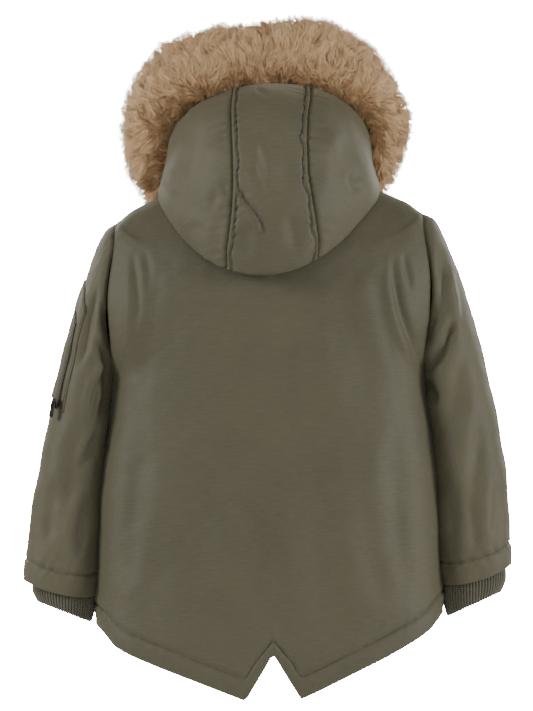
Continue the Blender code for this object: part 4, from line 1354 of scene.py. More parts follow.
@dataclass(frozen=True)
class WovenFinish:
    """Smooth woven shell cloth with a soft sheen.

    Args:
        name: the material's name.
        dark: its darker shade.
        light: its lighter shade.
        roughness: its gloss.
        sheen: strength of the nap's sheen.
        weave: height of the threads in metres.
        crumple: height of the fine crumples in metres.
        streak: how much darker its darker threads are.
    """

    name: str = "olive_cloth"
    dark: Colour = (0.092, 0.084, 0.049, 1)
    light: Colour = (0.116, 0.106, 0.063, 1)
    roughness: float = 0.56
    sheen: float = 0.18
    weave: float = 0.00004
    crumple: float = 0.0005
    streak: float = 0.3

    def make(self, groups: ShaderGroups) -> Material:
        """Build the material."""
        material, pad, shader = new_material(self.name)
        place = pad.add("ShaderNodeTexCoord").outputs["Object"]
        cloth = pad.add("ShaderNodeUVMap", {"uv_map": "cloth"}).outputs["UV"]
        shade = pad.add("ShaderNodeGroup", {"node_tree": groups.shade}, Place=place, Dark=self.dark, Light=self.light)
        weave = pad.add("ShaderNodeGroup", {"node_tree": groups.weave}, Cloth=cloth, Threads_per_m=1500.0, Slub=0.25)
        spread = pad.add("ShaderNodeMapRange", From_Min=0.3, From_Max=0.7, To_Min=0.55, To_Max=1.0,
                         Value=weave.outputs["Streak"])
        streaked = pad.add("ShaderNodeMix", {"data_type": "RGBA", "blend_type": "MULTIPLY"}, Factor=self.streak,
                           A=shade.outputs["Color"], B=spread.outputs["Result"])
        crumples = pad.maths("MULTIPLY", pad.noise(place, 55.0, 3.0, 0.3), self.crumple)
        thread = pad.maths("MULTIPLY", weave.outputs["Height"], self.weave)
        bump = pad.add("ShaderNodeBump", Strength=1.0, Distance=1.0, Height=pad.maths("ADD", crumples, thread))
        pad.fill(shader, Base_Color=streaked.outputs["Result"], Normal=bump.outputs["Normal"],
                 Roughness=pad.maths("MULTIPLY_ADD", shade.outputs["Mask"], 0.08, self.roughness - 0.04),
                 Specular_IOR_Level=0.36, Sheen_Weight=self.sheen, Sheen_Roughness=0.45,
                 Sheen_Tint=(0.80, 0.76, 0.62, 1))
        return material


@dataclass(frozen=True)
class KnitFinish:
    """Matt rib knit: small stitches on every rib.

    Args:
        name: the material's name.
        dark: its darker shade.
        light: its lighter shade.
        stitch: rows of stitches in a metre.
    """

    name: str = "olive_rib_knit"
    dark: Colour = (0.112, 0.105, 0.072, 1)
    light: Colour = (0.152, 0.144, 0.101, 1)
    stitch: float = 480.0

    def make(self, groups: ShaderGroups) -> Material:
        """Build the material."""
        material, pad, shader = new_material(self.name)
        place = pad.add("ShaderNodeTexCoord").outputs["Object"]
        shade = pad.add("ShaderNodeGroup", {"node_tree": groups.shade}, Place=place, Dark=self.dark, Light=self.light,
                        Patch=60.0, Fleck=900.0, Fleck_share=0.5)
        height = pad.add("ShaderNodeSeparateXYZ", Vector=place).outputs["Z"]
        loops = pad.maths("SINE", pad.maths("MULTIPLY", height, self.stitch * 2 * math.pi))
        fluff = pad.noise(place, 1600.0, 2.0)
        bump = pad.add("ShaderNodeBump", Distance=0.00035,
                       Height=pad.maths("ADD", pad.maths("MULTIPLY", loops, 0.5), fluff))
        pad.fill(shader, Base_Color=shade.outputs["Color"], Normal=bump.outputs["Normal"], Roughness=0.88,
                 Sheen_Weight=0.25, Specular_IOR_Level=0.3)
        return material


@dataclass(frozen=True)
class FurFinish:
    """Soft pile fur: brown at the root, pale tan at the tip, each hair a little different.

    Args:
        name: the material's name.
        root: colour at the root.
        middle: colour half way up.
        tip: colour at the tip.
        roughness: its gloss.
        softness: how much a hair is shaded as the pelt under it.
        tufts: how far the tufts turn the light on it.
        lean: how far the hairs turn towards the coat's back.
    """

    name: str = "tan_fur"
    root: Colour = (0.80, 0.475, 0.250, 1)
    middle: Colour = (0.92, 0.565, 0.295, 1)
    tip: Colour = (0.98, 0.665, 0.370, 1)
    roughness: float = 0.65
    softness: float = 0.72
    tufts: float = 2.0
    lean: float = 0.7

    def make(self, groups: ShaderGroups) -> Material:
        """Build the material; it uses no shared group."""
        material, pad, shader = new_material(self.name)
        length, tone, pelt = (pad.add("ShaderNodeAttribute", {"attribute_name": name}).outputs
                              for name in ("up_hair", "tone", "pelt_way"))
        place = pad.add("ShaderNodeTexCoord").outputs["Object"]
        shift = pad.maths("MULTIPLY", pad.maths("SUBTRACT", pad.noise(place, 34.0, 3.0, 0.6), 0.5), 0.9)
        own = pad.maths("MULTIPLY", pad.maths("SUBTRACT", tone["Fac"], 0.5), 0.5)
        up = pad.maths("ADD", pad.maths("ADD", length["Fac"], shift), own)
        ramp = pad.add("ShaderNodeValToRGB", Fac=up)
        stops = ramp.color_ramp.elements
        stops[0].position, stops[0].color = 0.0, self.root
        stops[1].position, stops[1].color = 0.95, self.tip
        stops.new(0.42).color = self.middle
        pad.fill(shader, Base_Color=ramp.outputs["Color"], Normal=self.soften(pad, place, pelt["Vector"]),
                 Roughness=self.roughness, Specular_IOR_Level=0.12, Sheen_Weight=0.06, Sheen_Roughness=0.5,
                 Sheen_Tint=(1.0, 0.80, 0.55, 1))
        return material

    def soften(self, pad: NodePad, place: Socket, pelt: Socket) -> Socket:
        """Way the hairs are lit: as the pelt they grow on, turned this way and that by the tufts."""
        tuft = pad.add("ShaderNodeTexNoise", Vector=place, Scale=75.0, Detail=2.0)
        half = self.tufts / 2
        turned = pad.vector("MULTIPLY_ADD", tuft.outputs["Color"], (self.tufts,) * 3, (-half, self.lean - half, -half))
        placed = pad.add("ShaderNodeVectorTransform",
                         {"vector_type": "NORMAL", "convert_from": "OBJECT", "convert_to": "WORLD"},
                         Vector=pad.vector("ADD", pelt, turned))
        own = pad.add("ShaderNodeNewGeometry").outputs["Normal"]
        blend = pad.add("ShaderNodeMix", {"data_type": "VECTOR"}, Factor=self.softness, A=own,
                        B=placed.outputs["Vector"])
        return pad.vector("NORMALIZE", blend.outputs["Result"])


@dataclass(frozen=True)
class HardFinish:
    """Painted metal, moulded plastic or thread with worn, uneven gloss.

    Args:
        name: the material's name.
        dark: its darker shade.
        light: its lighter shade.
        roughness: its gloss.
        metallic: 1 for metal.
        grain: size of its grain, in waves a metre.
    """

    name: str
    dark: Colour
    light: Colour
    roughness: float
    metallic: float = 0.0
    grain: float = 900.0

    def make(self, groups: ShaderGroups) -> Material:
        """Build the material."""
        material, pad, shader = new_material(self.name)
        place = pad.add("ShaderNodeTexCoord").outputs["Object"]
        shade = pad.add("ShaderNodeGroup", {"node_tree": groups.shade}, Place=place, Dark=self.dark, Light=self.light,
                        Patch=120.0, Fleck=self.grain, Fleck_share=0.4)
        bump = pad.add("ShaderNodeBump", Distance=0.00006, Height=pad.noise(place, self.grain, 2.0))
        pad.fill(shader, Base_Color=shade.outputs["Color"], Metallic=self.metallic, Normal=bump.outputs["Normal"],
                 Roughness=pad.maths("MULTIPLY_ADD", shade.outputs["Mask"], 0.16, self.roughness - 0.08))
        return material


class GeometryTree(GroupPad):
    """Builder of one Geometry Nodes tree with named inputs.

    Args:
        name: the tree's name.
        inputs: kind of socket and starting value by name.
    """

    def __init__(self, name: str, inputs: dict[str, tuple[str, object]]) -> None:
        """Start the tree with a geometry in, a geometry out and its inputs."""
        given = {"Geometry": ("Geometry", None), "Material": ("Material", None), **inputs}
        super().__init__(name, "GeometryNodeTree", given, {"Geometry": "Geometry"})

    def scaled(self, vector: Socket, by: object) -> Socket:
        """A vector times a number."""
        node = self.add("ShaderNodeVectorMath", {"operation": "SCALE"}, Scale=by)
        self.feed(node.inputs[0], vector)
        return node.outputs[0]

    def attribute(self, name: str, kind: str) -> Socket:
        """Value of a named attribute of the given data type."""
        node = self.add("GeometryNodeInputNamedAttribute", {"data_type": kind}, Name=name)
        return next(s for s in node.outputs if s.enabled)

    def shape_noise(self, scale: float) -> Node:
        """Noise texture over positions in space."""
        return self.add("ShaderNodeTexNoise", Scale=scale, Detail=1.0)

    def lines(self) -> tuple[Socket, Socket, Socket]:
        """Even points on the lines given, the way along them and the turn that lays a piece on the cloth there."""
        curve = self.add("GeometryNodeMeshToCurve", Mesh=self.given("Geometry"))
        even = self.add("GeometryNodeResampleCurve", {"mode": "LENGTH"}, Curve=curve.outputs["Curve"],
                        Length=self.given("Pitch"))
        tangent = self.add("GeometryNodeInputTangent").outputs[0]
        along = self.add("FunctionNodeAlignRotationToVector", {"axis": "Z"}, Vector=tangent)
        flat = self.add("FunctionNodeAlignRotationToVector", {"axis": "X", "pivot_axis": "Z"},
                        Rotation=along.outputs["Rotation"], Vector=self.attribute("out", "FLOAT_VECTOR"))
        return even.outputs["Curve"], tangent, flat.outputs["Rotation"]

    def finish(self, geometry: Socket) -> Tree:
        """Realize the instances, set the material and close the tree."""
        real = self.add("GeometryNodeRealizeInstances", Geometry=geometry)
        smooth = self.add("GeometryNodeSetShadeSmooth", Geometry=real.outputs["Geometry"])
        last = self.add("GeometryNodeSetMaterial", Geometry=smooth.outputs["Geometry"],
                        Material=self.given("Material"))
        self.fill(self.end, Geometry=last.outputs["Geometry"])
        return self.tree


def grow(name: str, base: Piece, tree: Tree, **values: object) -> Piece:
    """Run a Geometry Nodes tree on an object and keep the result as a plain mesh.

    Args:
        name: name of the new piece.
        base: the object it grows from, removed afterwards.
        tree: the tree.
        values: its inputs by name, with underscores for spaces.

    Returns:
        The new piece.
    """
    modifier = base.modifiers.new("growth", "NODES")
    modifier.node_group = tree
    sockets = {s.name: s.identifier for s in tree.interface.items_tree if s.in_out == "INPUT"}
    for label, value in values.items():
        modifier[sockets[label.replace("_", " ")]] = value
    base.update_tag()
    depsgraph = bpy.context.evaluated_depsgraph_get()
    mesh = bpy.data.meshes.new_from_object(
        base.evaluated_get(depsgraph), preserve_all_data_layers=True, depsgraph=depsgraph)
    mesh.name = name
    base.modifiers.clear()
    old = base.data
    bpy.data.objects.remove(base)
    bpy.data.meshes.remove(old)
    piece = bpy.data.objects.new(name, mesh)
    bpy.context.scene.collection.objects.link(piece)
    return piece


def fur_tree() -> Tree:
    """Pile fur: flat tapering hairs scattered over a pelt, combed along its flow in wavy tufts."""
    made = GeometryTree("fur_pile", {
        "Hairs per m2": ("Float", 740000.0),
        "Length": ("Float", 0.016),
        "Half width": ("Float", 0.00029),
        "Arch": ("Float", 0.28),
        "Lay": ("Float", 1.1),
        "Swirl": ("Float", 5.0),
        "Stray": ("Float", 0.24),
        "Tuft": ("Float", 0.013),
        "Seed": ("Int", 7),
    })
    strip = made.add("GeometryNodeMeshGrid", Size_X=2.0, Size_Y=1.0, Vertices_X=2, Vertices_Y=4)
    corner = made.add("ShaderNodeSeparateXYZ", Vector=made.add("GeometryNodeInputPosition").outputs[0])
    up = made.maths("ADD", corner.outputs["Y"], 0.5)
    taper = made.maths("SUBTRACT", 1.0, made.maths("MULTIPLY", made.maths("POWER", up, 1.8), 0.88))
    bulge = made.maths("MULTIPLY", made.maths("MULTIPLY", up, made.maths("SUBTRACT", 1.0, up)),
                       made.maths("MULTIPLY", made.given("Arch"), 4.0))
    place = made.add("ShaderNodeCombineXYZ", X=made.maths("MULTIPLY", corner.outputs["X"], taper), Y=bulge, Z=up)
    marked = made.add("GeometryNodeStoreNamedAttribute", {"data_type": "FLOAT", "domain": "POINT"},
                      Geometry=strip.outputs["Mesh"], Name="up_hair", Value=up)
    one_hair = made.add("GeometryNodeSetPosition", Geometry=marked.outputs["Geometry"], Position=place.outputs[0])
    scatter = made.add("GeometryNodeDistributePointsOnFaces", Mesh=made.given("Geometry"),
                       Density=made.given("Hairs per m2"), Seed=made.given("Seed"))
    flow = made.attribute("flow", "FLOAT_VECTOR")
    along = made.attribute("along", "FLOAT_VECTOR")
    reach = made.attribute("reach", "FLOAT")
    broad = made.maths("SUBTRACT", made.shape_noise(36.0).outputs["Fac"], 0.5)
    fine = made.maths("SUBTRACT", made.shape_noise(105.0).outputs["Fac"], 0.5)
    swirl = made.maths("MULTIPLY", made.maths("ADD", broad, made.maths("MULTIPLY", fine, 0.45)), made.given("Swirl"))
    own = made.add("FunctionNodeRandomValue", {"data_type": "FLOAT_VECTOR"}, Seed=11)
    own.inputs[0].default_value, own.inputs[1].default_value = (-1, -1, -1), (1, 1, 1)
    laid = made.vector("ADD", scatter.outputs["Normal"], made.scaled(flow, made.given("Lay")))
    laid = made.vector("ADD", laid, made.scaled(along, made.maths("MULTIPLY", swirl, made.given("Lay"))))
    laid = made.vector("NORMALIZE", made.vector("ADD", laid, made.scaled(own.outputs[0], made.given("Stray"))))
    upright = made.add("FunctionNodeAlignRotationToVector", {"axis": "Z"}, Vector=laid)
    turned = made.add("FunctionNodeAlignRotationToVector", {"axis": "Y", "pivot_axis": "Z"},
                      Rotation=upright.outputs["Rotation"], Vector=scatter.outputs["Normal"])
    length = made.add("FunctionNodeRandomValue", {"data_type": "FLOAT"}, Seed=12, Min=0.6, Max=1.1)
    clump = made.maths("ADD", 0.66, made.maths("MULTIPLY", made.shape_noise(80.0).outputs["Fac"], 0.68))
    tall = made.maths("MULTIPLY", made.maths("MULTIPLY", made.maths("MULTIPLY", length.outputs[1], clump), reach),
                      made.given("Length"))
    size = made.add("ShaderNodeCombineXYZ", X=made.given("Half width"), Y=tall, Z=tall)
    sprout = made.add("GeometryNodeInstanceOnPoints", Points=scatter.outputs["Points"],
                      Instance=one_hair.outputs["Geometry"], Rotation=turned.outputs["Rotation"],
                      Scale=size.outputs[0])
    tone = made.add("FunctionNodeRandomValue", {"data_type": "FLOAT"}, Seed=13)
    toned = made.add("GeometryNodeStoreNamedAttribute", {"data_type": "FLOAT", "domain": "INSTANCE"},
                     Geometry=sprout.outputs["Instances"], Name="tone", Value=tone.outputs[1])
    facing = made.add("GeometryNodeStoreNamedAttribute", {"data_type": "FLOAT_VECTOR", "domain": "INSTANCE"},
                      Geometry=toned.outputs["Geometry"], Name="pelt_way", Value=scatter.outputs["Normal"])
    real = made.add("GeometryNodeRealizeInstances", Geometry=facing.outputs["Geometry"])
    way_up = made.attribute("up_hair", "FLOAT")
    wave = made.vector("SUBTRACT", made.shape_noise(95.0).outputs["Color"], (0.5, 0.5, 0.5))
    sway = made.scaled(wave, made.maths("MULTIPLY", made.maths("POWER", way_up, 1.5),
                                        made.maths("MULTIPLY", made.given("Tuft"), 2.0)))
    curled = made.add("GeometryNodeSetPosition", Geometry=real.outputs["Geometry"], Offset=sway)
    return made.finish(curled.outputs["Geometry"])


def line_on(grid: ClothGrid, edge: Edge, offset: Array | float, lift: float = 0.0) -> Array:
    """Line on a grid at a distance from one of its borders.

    Args:
        grid: the dressed cloth.
        edge: the border that the line follows.
        offset: distance from it in millimetres, one or one for each place along it.
        lift: height over the cloth.

    Returns:
        The points and the normals there, in order along the border.
    """
    away = grid.distance(edge)
    places, outs = grid.points, grid.normals
    if edge in (Edge.LOW_ROW, Edge.HIGH_ROW):
        away, places, outs = away.T, places.transpose(1, 0, 2), outs.transpose(1, 0, 2)
    if edge in (Edge.HIGH_ROW, Edge.HIGH_COLUMN):
        away, places, outs = away[:, ::-1], places[:, ::-1], outs[:, ::-1]
    offset = np.broadcast_to(offset, away.shape[:1])
    points, normals = [], []
    for k in range(len(away)):
        points.append([np.interp(offset[k], away[k], places[k, :, c]) for c in range(3)])
        normals.append([np.interp(offset[k], away[k], outs[k, :, c]) for c in range(3)])
    normals = unit(np.array(normals))
    return np.array([np.array(points) + normals * lift, normals])


def path_object(lines: list[Array]) -> Piece:
    """Loose edges along several lines, each with its normals, as a base to grow stitches on."""
    mesh = bpy.data.meshes.new("path")
    places = FORM.settle(np.concatenate([line[0] for line in lines]))
    outs = np.concatenate([line[1] for line in lines])
    edges, first = [], 0
    for line in lines:
        count = line.shape[1]
        edges += [(first + k, first + k + 1) for k in range(count - 1)]
        first += count
    mesh.from_pydata(places.tolist(), edges, [])
    data = mesh.attributes.new("out", "FLOAT_VECTOR", "POINT").data
    data.foreach_set("vector", np.ascontiguousarray(outs, np.float32).ravel())
    base = bpy.data.objects.new("path", mesh)
    bpy.context.scene.collection.objects.link(base)
    return base


def stitch_tree() -> Tree:
    """Short rounded stitches at an even pitch along lines, lying flat on the cloth."""
    made = GeometryTree("stitch_rows", {
        "Pitch": ("Float", 0.0031),
        "Length": ("Float", 0.0022),
        "Thread": ("Float", 0.00032),
    })
    even, _, flat = made.lines()
    bead = made.add("GeometryNodeMeshUVSphere", Segments=6, Rings=4, Radius=1.0)
    half = made.maths("MULTIPLY", made.given("Length"), 0.5)
    size = made.add("ShaderNodeCombineXYZ", X=made.given("Thread"), Y=made.given("Thread"), Z=half)
    rows = made.add("GeometryNodeInstanceOnPoints", Points=even, Instance=bead.outputs["Mesh"], Rotation=flat,
                    Scale=size.outputs[0])
    return made.finish(rows.outputs["Instances"])


def rib_tree() -> Tree:
    """Rounded knit ribs that run along lines."""
    made = GeometryTree("knit_ribs", {"Rib": ("Float", 0.0013)})
    curve = made.add("GeometryNodeMeshToCurve", Mesh=made.given("Geometry"))
    profile = made.add("GeometryNodeCurvePrimitiveCircle", Resolution=7, Radius=made.given("Rib"))
    rib = made.add("GeometryNodeCurveToMesh", Curve=curve.outputs["Curve"], Profile_Curve=profile.outputs["Curve"],
                   Fill_Caps=True)
    return made.finish(rib.outputs["Mesh"])


def teeth_tree() -> Tree:
    """Moulded zip teeth that mesh in turn from both sides of a line."""
    made = GeometryTree("zip_teeth", {
        "Pitch": ("Float", 0.0021),
        "Width": ("Float", 0.0034),
        "Height": ("Float", 0.0016),
        "Step": ("Float", 0.0008),
    })
    even, tangent, flat = made.lines()
    long = made.maths("MULTIPLY", made.given("Pitch"), 0.78)
    size = made.add("ShaderNodeCombineXYZ", X=made.given("Height"), Y=made.given("Width"), Z=long)
    block = made.add("GeometryNodeMeshCube", Size=size.outputs[0])
    index = made.add("GeometryNodeInputIndex").outputs[0]
    turn = made.maths("SUBTRACT", made.maths("MULTIPLY", made.maths("MODULO", index, 2.0), 2.0), 1.0)
    across = made.vector("NORMALIZE", made.vector("CROSS_PRODUCT", tangent, made.attribute("out", "FLOAT_VECTOR")))
    moved = made.add("GeometryNodeSetPosition", Geometry=even,
                     Offset=made.scaled(across, made.maths("MULTIPLY", turn, made.given("Step"))))
    rows = made.add("GeometryNodeInstanceOnPoints", Points=moved.outputs["Geometry"],
                    Instance=block.outputs["Mesh"], Rotation=flat)
    return made.finish(rows.outputs["Instances"])


@dataclass
class RibCuff:
    """Rib knit cuff inside a sleeve's hem: a plain tube and the ribs on it.

    Args:
        knit: its material.
        side: the wearer's side.
        ribs: number of ribs round it.
    """

    knit: Material
    side: Side
    ribs: int = 62
    rows: int = 16
    columns: int = 124
    square: float = 2.2
    sunk: float = 1.3
    rib: float = 1.35
    thickness: float = 1.6
    right_drop: float = 6.5

    def ring(self, columns: int, sunk: float) -> tuple[ClothGrid, Array]:
        """Grid of the cuff with evenly spaced columns, sunk below its outer face."""
        along = np.linspace(0, 1, self.rows)
        theta = even_parameters(lambda t: FORM.tube(FORM.cuff, along[:, None], t, self.square, self.side),
                                -90.0, 270.0, np.linspace(0, 1, columns + 1))[:, :-1]
        points = FORM.tube(FORM.cuff, along[:, None], theta, self.square, self.side)
        if self.side is Side.RIGHT:
            points[..., 2] -= self.right_drop * along[:, None]
        plain = ClothGrid(points, float(self.side.value), True)
        return plain.moved(np.full(plain.points.shape[:2], -sunk)), along

    def build(self, tree: Tree) -> Cloth:
        """Make the cuff and its ribs."""
        grid, _ = self.ring(self.columns, self.sunk)
        piece = Shell(grid, self.thickness).build(f"rib_cuff_tube_{self.side.word}")
        dress(piece, self.knit)
        top, _ = self.ring(self.ribs, self.rib * 0.55)
        gathered = 0.35 * pucker(np.arange(self.ribs) * 3.4, 30.0, 77 + self.side.value)
        lines = []
        for k in range(self.ribs):
            outs = top.normals[:, k]
            points = top.points[:, k] + outs * gathered[k]
            end = points[-1] - outs[-1] * 1.6 + (points[-1] - points[-2]) * 0.15
            points = np.concatenate([points, end[None]])
            lines.append(np.array([points, np.concatenate([outs, outs[-1:]])]))
        ribs = grow(f"rib_cuff_ribs_{self.side.word}", path_object(lines), tree, Material=self.knit,
                    Rib=self.rib * MM)
        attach(ribs, COAT)
        cloth = Cloth(piece, (f"rib_cuff_{self.side.word}",), "olive_rib_knit", (0.22, 0.07), 0.0135, "gathered")
        cloth.extra = [ribs]
        return cloth


@dataclass
class SleevePocket:
    """Patch pocket on the left sleeve with a zipped welt and its small chain.

    Args:
        cloth: shell cloth.
        sleeve: the sleeve it is sewn on.
    """

    cloth: Material
    sleeve: Sleeve
    patch_thetas: tuple[float, float] = (30.0, 120.0)
    patch_alongs: tuple[float, float] = (0.2, 0.5)
    welt_thetas: tuple[float, float] = (46.5, 67.0)
    zip_thetas: tuple[float, float] = (40.0, 45.0)
    zip_alongs: tuple[float, float] = (0.275, 0.5)
    topstitch: float = 2.6
    grids: dict[str, ClothGrid] = field(default_factory=dict)

    def laid(self, name: str, thetas: tuple[float, float], alongs: tuple[float, float], lift: float,
             rows: int, columns: int) -> ClothGrid:
        """Grid laid on the sleeve's cloth between two angles and two lengths, at a height over it."""
        cover = self.sleeve.coverage()
        along = np.linspace(*alongs, rows)[:, None]
        theta = np.linspace(*thetas, columns)[None, :]
        points = cover.at(along, theta) + cover.normal(along, theta, 0.012, 4.0) * lift
        grid = ClothGrid(points, float(self.sleeve.side.value))
        self.grids[name] = grid
        return grid

    def panel(self, name: str, node: str, grid: ClothGrid, thick: float, soft: float,
              cut: tuple[float, float]) -> Cloth:
        """Make one flat cloth piece with turned, stitched edges."""
        height = sum(SeamRoll(edge, soft, 1.4, 0.2, 6.0, 9.0, 51).height(grid) for edge in Edge)
        height = height + 0.25 * waves(grid.points, 26.0, 52)
        dressed = grid.moved(height)
        self.grids[name] = dressed
        piece = Shell(dressed, thick).build(name)
        dress(piece, self.cloth)
        return Cloth(piece, (node,), "olive_cloth", cut, cut[0] * cut[1] * 0.98, "laid")

    def build(self) -> list[Cloth]:
        """Make the patch and the welt."""
        patch = self.laid("pocket_patch", self.patch_thetas, self.patch_alongs, 1.8, 46, 26)
        welt = self.laid("pocket_welt", self.welt_thetas, self.zip_alongs, 3.6, 34, 9)
        return [self.panel("pocket_patch_cloth", "sleeve_pocket_patch", patch, 1.4, 0.7, (0.082, 0.146)),
                self.panel("pocket_welt_cloth", "sleeve_pocket_welt", welt, 1.3, 0.5, (0.022, 0.108))]

    def lines(self) -> list[Array]:
        """Its rows of stitching, just inside the edges."""
        return [line_on(grid, edge, self.topstitch) for grid in self.grids.values() for edge in Edge]

    def chain_line(self) -> Array:
        """Line of the pocket zip's chain, with its normals."""
        cover = self.sleeve.coverage()
        along = np.linspace(self.zip_alongs[0], self.zip_alongs[1], 60)
        theta = np.full_like(along, sum(self.zip_thetas) / 2)
        outs = cover.normal(along, theta, 0.012, 4.0)
        return np.array([cover.at(along, theta) + outs * 2.9, outs])


@dataclass
class FrontZip:
    """Closed front zip: two woven tapes, the teeth between them.

    Args:
        tape: tape material.
        teeth: teeth material.
    """

    tape: Material
    teeth: Material
    chin_rows: tuple[float, ...] = (0.98, 0.93, 0.82, 0.64, 0.43, 0.22, 0.08)

    def path(self, face: Body) -> tuple[Array, Array]:
        """Places up the centre front and the directions out of the cloth there."""
        levels = face.levels((24, 14, 10))[:-1]
        levels = np.append(levels[1:], 2.97)
        low = FORM.panel(np.full_like(levels, 1e-6), levels, Face.FRONT)
        v = np.array(self.chin_rows)
        high = FORM.hood_points(np.full_like(v, math.radians(-89.0)), v)
        path = np.concatenate([low, high])
        path[:, 0] = 0.0
        way = unit(np.gradient(path, axis=0))
        outs = points_of(np.zeros(len(path)), -way[:, 2], way[:, 1])
        return path, outs

    def tape_piece(self, side: Side, path: Array, outs: Array) -> Cloth:
        """One tape behind a front's edge."""
        across = np.linspace(2.9, 8.5, 5) if side is Side.LEFT else np.linspace(-8.5, -2.9, 5)
        points = path[:, None] - outs[:, None] * 3.4 + np.stack(
            [across, np.zeros(5), np.zeros(5)], axis=-1)[None]
        piece = Shell(ClothGrid(points, 1.0), 0.9, 1).build(f"front_zip_tape_cloth_{side.word}")
        dress(piece, self.tape)
        return Cloth(piece, (f"front_zip_tape_{side.word}",), "zip_tape", (0.014, 0.466), 0.0026, "laid")

    def build(self, body: Body, tree: Tree) -> tuple[list[Cloth], Piece]:
        """Make the tapes and the teeth."""
        path, outs = self.path(body)
        tapes = [self.tape_piece(side, path, outs) for side in Side]
        line = np.array([path - outs * 2.4, outs])
        teeth = grow("front_zip_teeth", path_object([line]), tree, Material=self.teeth)
        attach(teeth, COAT)
        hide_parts("front_zip_chain")
        return tapes, teeth


@dataclass
class Hardware:
    """Zip sliders and pull tabs, their edges rounded."""

    metal: Material
    round_over: float = 0.00045

    def rounded(self, node: str, body: str) -> Piece:
        """Copy of a hard node with rounded edges, riding where the node rides."""
        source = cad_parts[node]
        mesh = source.data.copy()
        mesh.name = f"{node}_rounded"
        piece = bpy.data.objects.new(mesh.name, mesh)
        bpy.context.scene.collection.objects.link(piece)
        body_mesh = bmesh.new()
        body_mesh.from_mesh(mesh)
        bmesh.ops.remove_doubles(body_mesh, verts=body_mesh.verts, dist=1e-6)
        bmesh.ops.dissolve_limit(body_mesh, angle_limit=math.radians(2), verts=body_mesh.verts,
                                 edges=body_mesh.edges)
        sharp = [e for e in body_mesh.edges if len(e.link_faces) == 2 and e.calc_face_angle() > math.radians(30)]
        bmesh.ops.bevel(body_mesh, geom=sharp, offset=self.round_over, segments=2, profile=0.6,
                        affect="EDGES", clamp_overlap=True)
        body_mesh.to_mesh(mesh)
        body_mesh.free()
        mesh.shade_smooth()
        dress(piece, self.metal)
        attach(piece, body)
        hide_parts(node)
        return piece


